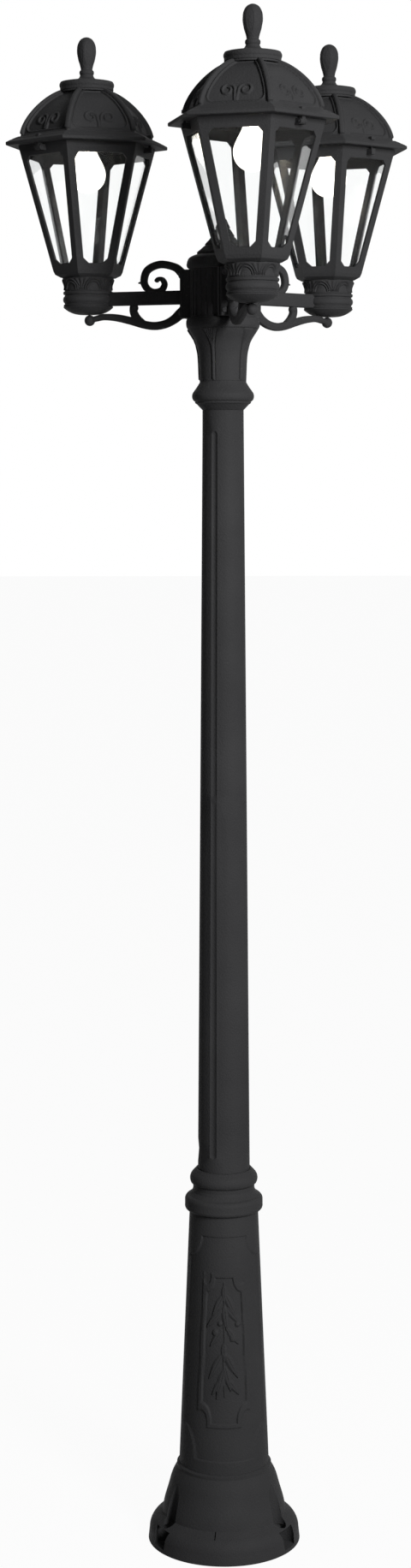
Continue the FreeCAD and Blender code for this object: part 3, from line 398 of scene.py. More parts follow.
def moulded(name, dark, light, gloss):
    """Plain moulded plastic: faint clouding and a fine even grain."""
    p = painted(name)
    cloud = p.noise(70, 4.0, 0.6)
    return p.surface(Base_Color=p.blend(cloud, dark, light), Roughness=gloss + cloud * 0.15,
                     Normal=p.bump(p.noise(1100), 0.12, 0.0002))


FINISHES = {
    "black_resin": resin(),
    "black_steel": coated_steel(),
    "zinc_steel": galvanised(),
    "clear_pane": pane_plastic(),
    "clear_glass": lamp_glass(),
    "cap_metal": cap_metal(),
    "filament": filament_glow(),
    "holder_black": moulded("holder_black", (0.030, 0.030, 0.031), (0.060, 0.060, 0.062), 0.25),
    "terminal_white": moulded("terminal_white", (0.72, 0.72, 0.69), (0.84, 0.84, 0.82), 0.35),
}

SLOT_OF = {part["node"]: part["material_slot"] for part in frame["record"]["subparts"]}

for node, cad_piece in frame["nodes"].items():
    cad_piece.data.materials.clear()
    cad_piece.data.materials.append(FINISHES[SLOT_OF[node]])


def resin_piece(name, shells, body, node):
    """A moulded or cast resin piece in place of one CAD node."""
    mesh_of(name, shells, body, FINISHES["black_resin"], [node])


# ------------------------------------------------------------------ pedestal with its framed panels
PEDESTAL_LOW, PEDESTAL_HIGH = extent("pedestal")
PEDESTAL_FOOT_R = PEDESTAL_HIGH[0]
PEDESTAL_TOP_R = 58.2
PEDESTAL_WALL = 5.0
PEDESTAL_SPIGOT = 18.0   # depth that it reaches into the bell
PEDESTAL_SPIGOT_R = PEDESTAL_FOOT_R - 7.3
PEDESTAL_Z = PEDESTAL_LOW[2] + PEDESTAL_SPIGOT
PEDESTAL_TOP = PEDESTAL_HIGH[2]
PEDESTAL_ROWS = 360
PLAIN_EDGE = 3.0         # left plain at the foot and the top
SPRAY_REACH = 29.0       # degrees each side of a panel's middle that need close columns

# a panel: half width at the top and the foot, height of the top and the foot, and the
# half axes (across, up) of the elliptic notches in its upper and lower corners
OUTER_PANEL = (71, 88, 548, 161, (31, 38), (33, 55))
INNER_PANEL = (29.5, 43.5, 479, 226, (14, 25), (20, 34))
PANEL_DEPTH = 2.0
FIELD_DEPTH = 1.0        # further down, inside the inner panel
FRAME_HEIGHT = 2.0       # raised frame round the inner panel
FRAME_WIDTH = 7.0
SPRAY_MARGIN = 1.5

# leaves of the hanging spray: foot x, foot height, heading from straight down, length, all
# in millimetres and degrees
LEAVES = ((0, 466, 0, 30), (1, 452, 26, 46), (-1, 450, -28, 42), (4, 428, 40, 42),
          (-4, 424, -40, 44), (0, 432, 6, 46), (-3, 390, -36, 38), (5, 392, 36, 36),
          (-1, 366, 2, 34), (1, 350, 28, 52), (-3, 348, -28, 52), (1, 326, 14, 46),
          (0, 322, -14, 56), (5, 306, 36, 38), (-4, 304, -32, 34))
LEAF_HALF = 5.8
LEAF_NORMAL = 40.0       # length of a leaf that is LEAF_HALF wide
LEAF_FOOT_HIGH, LEAF_TIP_MORE = 2.2, 1.4
MIDRIB_DEEP, MIDRIB_HALF = 1.2, 0.7
# berries: x, height, radius
BERRIES = ((-15, 384, 6.0), (16, 374, 6.4), (24, 398, 4.8), (-7, 400, 4.4), (2, 344, 6.0))
BERRY_HIGH = 3.6
STEM = ((0, 470), (1, 442), (-1, 410), (1, 374), (-1, 342), (0, 308), (1, 274))
STEM_HIGH, STEM_HALF = 1.6, 1.5


def outline_gap(x, z, half_top, half_low, top, low, notch_top, notch_low):
    """Distance outside a tapered panel (negative inside): its sides, top and foot, less
    elliptic notches at the corners."""
    half = half_low + (half_top - half_low) * (z - low) / (top - low)
    side = np.abs(x) - half
    gap = np.maximum(side, np.maximum(z - top, low - z))
    for (across, up), edge in ((notch_top, top - z), (notch_low, z - low)):
        reach = np.hypot(side / across, edge / up)
        notched = np.maximum(gap, (1 - reach) * min(across, up))
        gap = np.where(edge < up * 1.6, notched, gap)
    return gap


def leaf_spray(x, z):
    """Relief of a hanging spray, the highest of its parts at each place: a thin round stem,
    round berries, and leaves whose half width is sin(pi along^0.75), each with a sunk midrib."""
    distance, _ = nearest(x, z, through(STEM, 40))
    relief = STEM_HIGH * bead(distance, STEM_HALF)
    for foot_x, foot_z, heading, length in LEAVES:
        a = math.radians(heading)
        dx, dz = math.sin(a), -math.cos(a)
        along = ((x - foot_x) * dx + (z - foot_z) * dz) / length
        across = (x - foot_x) * dz - (z - foot_z) * dx
        along = np.clip(along, 0, 1)
        half = LEAF_HALF * np.sin(np.pi * along ** 0.75) * (length / LEAF_NORMAL) ** 0.5
        body = np.clip(1 - (across / (half + 1e-6)) ** 2, 0, 1) ** 0.6 * (half > 0.4)
        midrib = np.exp(-(across / MIDRIB_HALF) ** 2) * (half > 0.4)
        leaf = (LEAF_FOOT_HIGH + LEAF_TIP_MORE * along) * body - MIDRIB_DEEP * midrib * body
        relief = np.maximum(relief, leaf)
    for berry_x, berry_z, radius in BERRIES:
        berry = bead(np.hypot(x - berry_x, z - berry_z), radius)
        relief = np.maximum(relief, BERRY_HIGH * berry)
    return relief


def pedestal_relief(turn, radius, z):
    """Raised or sunk amount at angle turn (0 at the panel's middle): smooth steps across the
    outlines make a sunk panel, a raised frame and a sunk field, which carries the spray."""
    x = radius * turn
    outer = outline_gap(x, z, *OUTER_PANEL)
    inner = outline_gap(x, z, *INNER_PANEL)
    ridge = rise(inner + FRAME_WIDTH * 0.1, 0.7) * (1 - rise(inner - FRAME_WIDTH, 0.9))
    relief = FRAME_HEIGHT * ridge - PANEL_DEPTH * (1 - rise(outer, 0.9))
    relief = relief - FIELD_DEPTH * (1 - rise(inner, 0.8))
    return relief + leaf_spray(x, z) * (inner < -SPRAY_MARGIN)


def pedestal_angles():
    """Angles round the pedestal: close together over the sprays, wider between them."""
    fine = np.radians(np.linspace(-SPRAY_REACH, SPRAY_REACH, 76))
    wide = np.radians(np.linspace(SPRAY_REACH, 90, 30))[1:]
    half = np.concatenate([-wide[::-1], fine, wide])[:-1]
    return np.concatenate([half, half + np.pi])


def make_pedestal():
    """Tapered tube: radius falls evenly with height, plus the relief on two opposite sides;
    then the inner wall and the spigot."""
    angle = pedestal_angles()
    z = np.linspace(PEDESTAL_Z, PEDESTAL_TOP, PEDESTAL_ROWS)[:, None]
    part = (z - PEDESTAL_Z) / (PEDESTAL_TOP - PEDESTAL_Z)
    radius = PEDESTAL_FOOT_R + (PEDESTAL_TOP_R - PEDESTAL_FOOT_R) * part
    turn = (angle[None, :] + np.pi / 2) % np.pi - np.pi / 2
    plain = rise(z - PEDESTAL_Z - PLAIN_EDGE, 2) * rise(PEDESTAL_TOP - PLAIN_EDGE - z, 2)
    relief = plain * pedestal_relief(turn, radius, z + 0 * turn)
    outer = around(radius + relief, z, angle[None, :] + FRONT)
    bore_r = PEDESTAL_SPIGOT_R - PEDESTAL_WALL
    inner = hoops([(PEDESTAL_TOP_R - PEDESTAL_WALL, PEDESTAL_TOP),
                   (PEDESTAL_FOOT_R - PEDESTAL_WALL - 4, PEDESTAL_Z + 8),
                   (bore_r, PEDESTAL_Z + 2), (bore_r, PEDESTAL_LOW[2]),
                   (PEDESTAL_SPIGOT_R, PEDESTAL_LOW[2]), (PEDESTAL_SPIGOT_R, PEDESTAL_Z)],
                  angle + FRONT)
    resin_piece("pedestal_moulding", [shell(np.concatenate([outer, inner]))], "post", "pedestal")


make_pedestal()


# ------------------------------------------------------------------ capital with its leaf ribs
CAPITAL_LOW, CAPITAL_HIGH = extent("capital")
CROWN_R = CAPITAL_HIGH[0]
CROWN_H = 18.0
CROWN_ROUND = 4.0        # how far its rounded edge draws in
CROWN_Z = CAPITAL_HIGH[2] - CROWN_H
CAPITAL_FOOT_R = 38.2
CAPITAL_TOP_R = 57.9
CAPITAL_SPIGOT = 9.0 - GAP
CAPITAL_SPIGOT_R = CAPITAL_FOOT_R - 5.3
CAPITAL_Z = CAPITAL_LOW[2] + CAPITAL_SPIGOT
CAPITAL_BORE_R = 24.0
HUB_SOCKET_R, HUB_SOCKET_DEEP = 48.0, 11.0
# the bell's outline, as parts of its flare and of its height
CAPITAL_BELL = ((0, 0), (0.08, 0.44), (0.19, 0.61), (0.40, 0.77), (0.82, 0.93), (1, 1))
CAPITAL_RIBS = 5
CAPITAL_RIB_TURN = math.radians(-23.6)
RIB_HALF = math.radians(3.6)
RIB_SPREAD = math.radians(7.5)
RIB_SPREAD_FROM = 0.62   # part of the height where a rib starts to spread
CAPITAL_RIB_HIGH, CAPITAL_GROOVE_DEEP = 2.2, 1.5


def capital_relief(turn, up):
    """Ribs at equal angles: one raised band between two grooves, that splits near the top
    into five veins that spread out."""
    period = 2 * np.pi / CAPITAL_RIBS
    a = (turn - CAPITAL_RIB_TURN + period / 2) % period - period / 2
    spread = np.clip((up - RIB_SPREAD_FROM) / (1 - RIB_SPREAD_FROM), 0, 1) ** 1.6
    s = a / (RIB_HALF + RIB_SPREAD * spread)
    inside = 1 - rise(np.abs(s) - 1, 0.12)
    veins = 0.5 - 0.5 * np.cos(5 * np.pi * (s + 1))
    split = rise(spread - 0.12, 0.12)
    body = bead(s, 1.05) * (1 - split) + (0.35 + 0.65 * veins) * split
    groove = np.exp(-((np.abs(s) - 1.25) / 0.22) ** 2)
    return CAPITAL_RIB_HIGH * inside * body - CAPITAL_GROOVE_DEEP * groove


def make_capital():
    """Bell from a curve of (radius, height) with ribs, then a round crown ring, the hub's
    socket, the bore and the spigot."""
    height, flare = CROWN_Z - CAPITAL_Z, CAPITAL_TOP_R - CAPITAL_FOOT_R
    bell = through([(CAPITAL_FOOT_R + out * flare, CAPITAL_Z + up * height)
                    for out, up in CAPITAL_BELL], 70)
    radius, z = columns(bell)
    angle = circle(480)
    up = (z - CAPITAL_Z) / height
    plain = rise(up - 0.02, 0.015) * rise(0.985 - up, 0.012)
    relief = plain * capital_relief(angle[None, :], up)
    outer = around(radius + relief, z, angle[None, :] + FRONT)
    half = CROWN_H / 2
    roll = np.linspace(-np.pi / 2, np.pi / 2, 16)
    bulge = CROWN_ROUND * np.clip(np.cos(roll), 0, 1) ** 0.8
    crown = np.stack([CROWN_R - CROWN_ROUND + bulge, CROWN_Z + half + half * np.sin(roll)], axis=1)
    inside = [(HUB_SOCKET_R, CAPITAL_HIGH[2]), (HUB_SOCKET_R, CAPITAL_HIGH[2] - HUB_SOCKET_DEEP),
              (HUB_SOCKET_R - 6, CROWN_Z - 2), (CAPITAL_BORE_R, CAPITAL_Z + 0.3 * height),
              (CAPITAL_BORE_R, CAPITAL_LOW[2]), (CAPITAL_SPIGOT_R, CAPITAL_LOW[2]),
              (CAPITAL_SPIGOT_R, CAPITAL_Z)]
    inner = hoops(np.vstack([crown, inside]), angle + FRONT)
    resin_piece("capital_leafed", [shell(np.concatenate([outer, inner]))], "post", "capital")


make_capital()


# ------------------------------------------------------------------ hub lid with its leafed cone
LID_LOW, LID_HIGH = extent("hub_cap")
LID_R = LID_HIGH[0]
LID_LIP = 9.0
LID_LIP_R, LID_BORE_R = 45.7, 41.7
LID_Z = LID_LOW[2] + LID_LIP
LID_TOP = LID_HIGH[2] - 60.0
LID_EDGE = ((-4, 0), (-0.8, 3), (0, 8), (-3.4, 17))  # from the widest radius and the foot
CONE_R = 42.0
SCALE_ROWS = 4
SCALES_AT_FOOT, SCALES_FEWER = 12, 2  # scales in the lowest row, and fewer in each next row
SCALE_HIGH, SCALE_VEIN_HIGH = 1.9, 0.48


def cone_relief(turn, up):
    """Overlapping round scales on the cone: rows of arches, each row turned by half a scale,
    with veins as a cosine of the distance from each arch's foot."""
    row = np.floor(up * SCALE_ROWS)
    v = up * SCALE_ROWS - row
    count = SCALES_AT_FOOT - SCALES_FEWER * row
    u = (turn / (2 * np.pi) * count + 0.5 * (row % 2)) % 1 * 2 - 1
    arch = np.sqrt(u ** 2 + v ** 2)
    scale = SCALE_HIGH * np.clip(1 - arch, 0, 1) ** 0.5
    vein = SCALE_VEIN_HIGH * np.cos(arch * 16) * (arch < 1)
    return (scale + vein) * (up < 0.97)


def make_hub_lid():
    """Round lid from a curve, then the cone with scales, closed at the tip; hollow below."""
    height = LID_HIGH[2] - LID_TOP
    angle = circle(240)
    lid = through(moved(LID_EDGE, LID_R, LID_Z) + [(LID_R - 12, LID_TOP), (CONE_R + 1, LID_TOP)],
                  40)
    cone = through([(CONE_R + 0.5, LID_TOP), (CONE_R - 0.8, LID_TOP + 4),
                    (CONE_R - 9.5, LID_TOP + 0.20 * height), (CONE_R - 18, LID_TOP + 0.36 * height),
                    (CONE_R - 25, LID_TOP + 0.52 * height), (8, LID_TOP + 0.80 * height),
                    (6.2, LID_TOP + 0.94 * height), (1.5, LID_HIGH[2] - 0.3), (0, LID_HIGH[2])], 90)
    radius, z = columns(cone)
    up = (z - LID_TOP - 3) / (height - 6)
    plain = rise(up - 0.01, 0.01) * (up < 0.93)
    relief = plain * cone_relief(angle[None, :], np.clip(up, 0, 0.999))
    scaled = around(np.maximum(radius + relief, 0), z, angle[None, :])
    inner = hoops([(0, LID_TOP + 0.5 * height), (CONE_R - 10, LID_TOP + 2),
                   (LID_BORE_R, LID_Z + 8), (LID_BORE_R, LID_LOW[2]),
                   (LID_LIP_R, LID_LOW[2]), (LID_LIP_R, LID_Z)], angle)
    grid = np.concatenate([hoops(lid, angle), scaled, inner])
    resin_piece("hub_lid_leafed", [shell(grid)], "post", "hub_cap")


make_hub_lid()


# ------------------------------------------------------------------ scroll arms
# Curves of an arm lie in the XZ plane, X outwards from the post; widths go with their points.
BAR_W, BAR_H = 14.0, 22.5
BAR_BELOW_SEAT = 1.5     # from the seat's top down to the bar's
SCROLL_W = 12.0
PLATE_BACK, PLATE_T, PLATE_W = 62.3, 7.0, 33.0
PLATE_FACE = PLATE_BACK + PLATE_T
HUB_SPIGOT = 9.0         # part of the hub that stands in the capital

# upper spiral about its centre, with a spur inside it
SPIRAL_OUT, SPIRAL_UP = 41.0, 14.5
SPIRAL = ((-40, 13), (-27, 23.5), (-1.5, 28.5), (20.5, 20), (27, 2.8), (22, -9.5),
          (10.5, -15.5), (-3, -13.5), (-9, -4.2), (-5.2, 4), (2.5, 4.6), (6.5, -0.5))
SPIRAL_WIDTHS = (14.5, 13, 12.5, 12, 11.5, 11, 10.5, 10, 9, 8, 6.5, 5.5)
SPUR = ((28, 0.5), (31, 0), (37, -1.2))
SPUR_WIDTHS = (6.5, 5, 1.6)

# lower loop: X from the plate's face, then X from the lantern's axis
LOOP_BELOW_SEAT = 20.0
LOOP_START = ((-3, -16), (6, -20.5), (15.5, -28), (30, -35), (48, -38), (66.5, -35.8))
LOOP_END = ((-74, -28.5), (-51, -23.5), (-29, -21.8), (-15, -24), (-3, -27))
LOOP_WIDTHS = (24, 17, 14.5, 13.5, 13.5, 13.5, 13, 12, 10.5, 9.5, 8)
TAIL_BALL_R = 9.0

# strut between bar and loop, with a ball on it
STRUT_OUT = 85.5
STRUT = ((0, 2), (1.5, -12), (-4, -24), (-16, -34))
STRUT_WIDTHS = (9, 12, 13, 11)
STRUT_BALL_R = 7.5

SEAT_R, SEAT_H = 41.8, 24.0
SEAT_RECESS_TOP = 4.0    # depth of the recess' ceiling below the seat's top
SWELL_UP = 11.0          # middle of the swell above the seat's foot
SWELL_OUT, SWELL_HALF = 3.2, 5.6

CORNER_STEPS = 5         # points in a rounded corner of a block
SCROLL_SIDES = 32


def block(low, high, radius):
    """Box with rounded edges: rounded rectangles along X, drawn in at both ends, closed to
    a point."""
    low, high = np.array(low, float), np.array(high, float)
    corner = np.linspace(0, np.pi / 2, CORNER_STEPS)
    spin = np.concatenate([corner + k * np.pi / 2 for k in range(4)])
    side_y = np.repeat([1, -1, -1, 1], CORNER_STEPS)
    side_z = np.repeat([1, 1, -1, -1], CORNER_STEPS)
    middle, half = (low + high)[1:] / 2, (high - low)[1:] / 2
    inwards = radius * (1 - np.sin(corner))
    drawn = radius * (1 - np.cos(corner))
    x = np.concatenate([(low[0] + inwards)[::-1], high[0] - inwards])[:, None]
    round_off = radius - np.concatenate([drawn[::-1], drawn])[:, None]
    y = middle[0] + side_y * (half[0] - radius) + round_off * np.cos(spin)
    z = middle[1] + side_z * (half[1] - radius) + round_off * np.sin(spin)
    tips = [np.tile([[end, *middle]], (4 * CORNER_STEPS, 1)) for end in (low[0], high[0])]
    return np.concatenate([[tips[0]], np.stack([x + 0 * y, y, z], axis=-1), [tips[1]]])


def scroll(points, widths, thickness, count=110, ends=(False, True)):
    """Profile carried along a curve in the XZ plane: a rounded bar of changing width, with a
    shallow groove near each edge of its two flat sides, and rounded where ends is true."""
    track = through([p + (w,) for p, w in zip(points, widths)], count)
    path, width = track[:, :2], track[:, 2]
    tangent = np.gradient(path, axis=0)
    tangent /= np.linalg.norm(tangent, axis=1)[:, None]
    side = np.stack([-tangent[:, 1], tangent[:, 0]], axis=1)
    gone = travelled(path)
    far = 99.0           # from an end that stays square
    left = np.minimum(gone if ends[0] else far, gone[-1] - gone if ends[1] else far)
    cap = np.sqrt(np.clip(1 - (1 - np.clip(left / (width / 2), 0, 1)) ** 2, 0, 1))
    c, s = np.cos(circle(SCROLL_SIDES)), np.sin(circle(SCROLL_SIDES))
    u = np.sign(c) * np.abs(c) ** 0.55
    v = np.sign(s) * np.abs(s) ** 0.55
    v = v * (1 - 0.14 * np.exp(-((np.abs(u) - 0.55) / 0.16) ** 2))
    across = (width / 2 * cap)[:, None] * u
    x = path[:, :1] + side[:, :1] * across
    y = (thickness / 2 * cap ** 0.5)[:, None] * v
    z = path[:, 1:] + side[:, 1:] * across
    tips = [np.tile([[path[k, 0], 0.0, path[k, 1]]], (SCROLL_SIDES, 1)) for k in (0, -1)]
    return np.concatenate([[tips[0]], np.stack([x, y, z], axis=-1), [tips[1]]])


def ball(centre, radius):
    """Sphere from latitude and longitude."""
    lat = np.linspace(-np.pi / 2, np.pi / 2, 17)
    out = radius * np.cos(lat) * (np.abs(lat) < 1.57)
    return hoops(np.stack([out, radius * np.sin(lat)], axis=1), circle(24)) + centre


def seat_profile(top):
    """Outline of the round seat: a foot band, a half-round swell between two steps, an upper
    band, the nipple's hole and a recess from below."""
    foot = top - SEAT_H
    swell_z = foot + SWELL_UP
    turn = np.linspace(0.25, 2.9, 14)
    swell = [(SEAT_R - SWELL_OUT + SWELL_OUT * math.sin(a), swell_z - SWELL_HALF * math.cos(a))
             for a in turn]
    below = [(SEAT_R - 4, foot), (SEAT_R - 1.6, foot), (SEAT_R - 1.0, foot + 1),
             (SEAT_R - 1.0, swell_z - 8.6), (SEAT_R - 3.0, swell_z - 7.4)]
    above = [(SEAT_R - 3.0, swell_z + 7.4), (SEAT_R - 0.8, swell_z + 8.6),
             (SEAT_R - 0.2, top - 1.5), (SEAT_R - 1, top)]
    ceiling = top - SEAT_RECESS_TOP
    within = [(NIPPLE_HOLE_R, top), (NIPPLE_HOLE_R, ceiling), (SEAT_R - 4, ceiling)]
    return below + swell + above + within


def make_arm(side):
    """Plate, bar, upper spiral with its spur, lower loop with a ball at its end, strut with a
    ball, and the round seat, all worked out along X and then turned to the lantern."""
    axis = axis_of(lantern_node(side, "vent_cap"))
    reach, heading = np.hypot(*axis), math.atan2(axis[1], axis[0])
    hub_low, hub_high = extent("hub_body")
    seat_top = extent(lantern_node(side, "collar"))[0][2] - GAP
    bar_top = seat_top - BAR_BELOW_SEAT
    loop_z = seat_top - LOOP_BELOW_SEAT
    spiral_at = (PLATE_FACE + SPIRAL_OUT, bar_top + SPIRAL_UP)
    strut_x = PLATE_FACE + STRUT_OUT
    loop = moved(LOOP_START, PLATE_FACE, loop_z) + moved(LOOP_END, reach, loop_z)
    grids = [
        block((PLATE_BACK, -PLATE_W / 2, hub_low[2] + HUB_SPIGOT),
              (PLATE_FACE, PLATE_W / 2, hub_high[2]), 1.2),
        block((PLATE_FACE - 1, -BAR_W / 2, bar_top - BAR_H), (reach - 6, BAR_W / 2, bar_top), 2.2),
        scroll(moved(SPIRAL, *spiral_at), SPIRAL_WIDTHS, SCROLL_W),
        scroll(moved(SPUR, *spiral_at), SPUR_WIDTHS, SCROLL_W * 0.6, 16),
        scroll(loop, LOOP_WIDTHS, SCROLL_W, 150),
        scroll(moved(STRUT, strut_x, loop_z), STRUT_WIDTHS, SCROLL_W, 40, (False, False)),
        ball((strut_x + 0.5, 0, loop_z - 8), STRUT_BALL_R),
        ball((reach - 2.5, 0, loop_z - 18 - TAIL_BALL_R), TAIL_BALL_R),
    ]
    seat = hoops(seat_profile(seat_top), circle(96)) + np.array([reach, 0, 0])
    shells = [shell(g, ring=False) for g in grids] + [shell(seat)]
    shells = [(turned(p, heading), q) for p, q in shells]
    resin_piece("arm_%s_cast" % side, shells, "post", "arm_" + side)


for arm_side in SIDES:
    make_arm(arm_side)


# ------------------------------------------------------------------ roofs
# The dome's sizes across are all circumradii of its hexagon.
EAVE_CORNER = 137.0
DOME_CORNER = 114.0
DOME_TOP_CORNER = 44.0
DOME_H = 72.0
DOME_ROWS, DOME_COLUMNS = 84, 104
EAVE_LIP, SKIRT_H = 6.0, 10.0
EAVE_OVER_PIN = 7.5      # the eave's underside above the hinge pin
RIM_CORNER = 108.0
VENT_CORNER = 8.0        # hole at the top, under the vent cap
WALL_TOP_CORNER = 30.0   # least size of the hollow below it
ROOF_WALL = 4.62
CROWN_WALL = 4.0         # thickness at the top
RIB_HIGH = 4.5
RIB_WIDE = 4.3
PANEL_MARGIN = 8.5
PANEL_FOOT, PANEL_TOP = 6.0, 5.0  # from the dome's foot and from its top, along the slope
PANEL_ROUND = 12.0
PANEL_SUNK = 2.2
BORDER_HIGH, BORDER_HALF = 1.1, 1.3
HORN_X, HORN_UP, HORN_R = 14.5, 25.0, 11.5
HORN_TURNS = 1.2
HORN_HIGH, HORN_FOOT_HALF, HORN_THINNER = 2.8, 2.5, 0.7
HINGE_REACH = 107.0
KNUCKLE_R, KNUCKLE_HALF, KNUCKLE_EDGE = 4.5, 3.5, 0.3


def horn_path():
    """A ram's horn: up from near the middle, over and inwards, its radius falling by 0.62
    t^0.9 over 1.2 turns."""
    t = np.linspace(0, 1, 46)
    a = t * HORN_TURNS * 2 * np.pi
    r = HORN_R * (1 - 0.62 * t ** 0.9)
    curl = np.stack([HORN_X - r * np.cos(a), HORN_UP + r * np.sin(a)], axis=1)
    foot = [(1.4, HORN_UP - 17.0), (2.0, HORN_UP - 9.0), (HORN_X - HORN_R - 0.2, HORN_UP - 3.0)]
    return np.vstack([foot, curl])


def dome_relief(x, s, half, length):
    """Sunk field with round lower corners, a beaded border round it and two facing horns on
    it, at x across the face and s up from its foot."""
    right = np.abs(x) - (half - PANEL_MARGIN) + PANEL_ROUND
    low = PANEL_FOOT - s + PANEL_ROUND
    gap = np.hypot(np.maximum(right, 0), np.maximum(low, 0)) - PANEL_ROUND
    gap = np.maximum(gap, s - (length - PANEL_TOP))
    field = PANEL_SUNK * (1 - rise(gap, 0.6))
    distance, along = nearest(np.abs(x), s, horn_path())
    horn = HORN_HIGH * bead(distance, HORN_FOOT_HALF - HORN_THINNER * along)
    border = BORDER_HIGH * bead(gap - BORDER_HALF, BORDER_HALF)
    return horn * (gap < -0.5) + border - field


def dome_corner(up):
    """Hexagon circumradius of the dome by height from 0 to 1: 1 - (1 - up^1.6)^0.74 of the
    way in."""
    part = 1 - (1 - np.clip(up, 0, 1) ** 1.6) ** 0.74
    return DOME_CORNER - (DOME_CORNER - DOME_TOP_CORNER) * part


def hex_columns(count):
    """Places across one face from -1 to 1, closer together near the corners: 0.72 g + 0.28
    sin(g pi / 2) of equal steps g."""
    g = np.linspace(-1, 1, count, endpoint=False)
    return 0.72 * g + 0.28 * np.sin(g * np.pi / 2)


def hex_ring(corner, z, across, lift=0.0):
    """Rows of a hexagonal surface: each row's circumradius and height, every column's place
    across its face, lifted outwards by lift; all six faces in turn."""
    corner = np.broadcast_to(corner, np.broadcast_shapes(np.shape(corner), np.shape(across)))
    apothem = corner * math.cos(HALF_FACE) + lift
    face = np.stack([apothem, across * corner / 2, z + 0 * apothem], axis=-1)
    return np.concatenate([turned(face, k * 2 * HALF_FACE) for k in range(FACES)], axis=1)


def dome_grid(foot_z, across):
    """Ribbed dome with its panels: rows at equal steps up the slope, raised square to it by
    the ribs at the corners and the relief between them."""
    up = np.linspace(0, 1, 400) ** 0.8
    corner = dome_corner(up)
    dense = np.stack([corner * math.cos(HALF_FACE), foot_z + DOME_H * up, corner], axis=1)
    rows = evenly(dense, DOME_ROWS)[1:]
    length = travelled(dense)[-1]
    s = (np.arange(1, DOME_ROWS) / (DOME_ROWS - 1) * length)[:, None]
    start = rise(s - 1.0, 1.0)
    corner = rows[:, 2:3] - RIB_HIGH * start
    half = corner / 2
    x = across * half
    rib = RIB_HIGH * 1.08 * bead(half - np.abs(x), RIB_WIDE) ** 0.7 * start
    slope = np.gradient(rows[:, :2], axis=0)
    slope /= np.linalg.norm(slope, axis=1)[:, None]
    relief = dome_relief(x, s, half, length) * rise(length - 4 - s, 3)
    lift = (relief + rib) * rise(s - 2.2, 2.0)
    return hex_ring(corner, rows[:, 1:2] - lift * slope[:, 0:1], across, lift * slope[:, 1:2])


def make_roof(side):
    """Eave, skirt with grooves, ribbed dome, hollow inside, plus the hinge's block, neck and
    knuckle on the face at angle 0."""
    axis, heading = lantern_place(side)
    pin_low, pin_high = extent(lantern_node(side, "hinge_pin"))
    pin_z = (pin_low[2] + pin_high[2]) / 2
    z0 = pin_z + EAVE_OVER_PIN
    lip = z0 + EAVE_LIP
    dome_z = lip + SKIRT_H
    across = hex_columns(DOME_COLUMNS)[None, :]
    skirt = [(EAVE_CORNER - 1.2, z0), (EAVE_CORNER, z0 + 1.0), (EAVE_CORNER, lip - 1.0),
             (EAVE_CORNER - 1.4, lip), (DOME_CORNER + 13.6, lip + 3.8),
             (DOME_CORNER + 12.6, lip + 3.6), (DOME_CORNER + 11.4, lip + 4.9),
             (DOME_CORNER + 2.4, dome_z - 1.4), (DOME_CORNER + 0.2, dome_z - 1.9),
             (DOME_CORNER - 1.5, dome_z - 1.2)]
    height = np.linspace(1, 0, 14)
    wall = np.maximum(dome_corner(height) - ROOF_WALL - RIB_HIGH * 0.9, WALL_TOP_CORNER)
    wall_top = DOME_H - CROWN_WALL
    inside = np.vstack([(VENT_CORNER, dome_z + wall_top),
                        np.stack([wall, dome_z + wall_top * height], axis=1),
                        (RIM_CORNER, z0)])
    dome = np.concatenate([hex_ring(*columns(skirt), across), dome_grid(dome_z, across),
                           hex_ring(VENT_CORNER, dome_z + DOME_H, across),
                           hex_ring(*columns(inside), across)])
    hinge_block = block((HINGE_REACH - 4, -4, lip + 3), (HINGE_REACH + 4, 4, lip + 8), 0.8)
    neck = block((HINGE_REACH - KNUCKLE_R, -KNUCKLE_HALF, pin_z),
                 (HINGE_REACH + KNUCKLE_R, KNUCKLE_HALF, z0 + 1.5), 0.5)
    edge_r, edge = KNUCKLE_R - KNUCKLE_EDGE, KNUCKLE_HALF - KNUCKLE_EDGE
    barrel = hoops([(0, -KNUCKLE_HALF), (edge_r, -KNUCKLE_HALF), (KNUCKLE_R, -edge),
                    (KNUCKLE_R, edge), (edge_r, KNUCKLE_HALF), (0, KNUCKLE_HALF)], circle(32))
    out, up, along = np.moveaxis(barrel, -1, 0)
    knuckle = np.stack([out + HINGE_REACH, along, up + pin_z], axis=-1)
    shells = [shell(dome)] + [shell(g, ring=False) for g in (hinge_block, neck, knuckle)]
    shells = [(turned(p, heading, axis), q) for p, q in shells]
    resin_piece(lantern_node(side, "roof_dome"), shells, "roof_" + side,
                lantern_node(side, "roof"))


# ------------------------------------------------------------------ leaf collars and finials
# the collar's outline: radius, and height from its foot or from its top
COLLAR_FOOT = ((40.6, 0), (40.6, 2), (40.0, 9))
COLLAR_TOP = ((43.3, -4), (43.9, -2), (43.9, 0))
COLLAR_MOUTH_R, COLLAR_CUP_R, COLLAR_FLOOR = 35.9, 36.6, 4.0
COLLAR_SUNK = 1.9        # depth of the ground that the collar's leaves stand on
ARC_ACROSS, ARC_UP, ARC_FOOT = 0.70, 0.80, 0.08  # ellipse of a leaf, in parts of its field
ARC_FROM, ARC_TO, ARC_STEP = 0.64, 1.12, 0.24
ARC_HIGH, HEART_HIGH, FAN_HIGH = 2.6, 0.72, 1.71
FAN_VEINS = 14           # radians of the fans' cosine in each radian of lean
COLLAR_RING_HIGH = 0.5

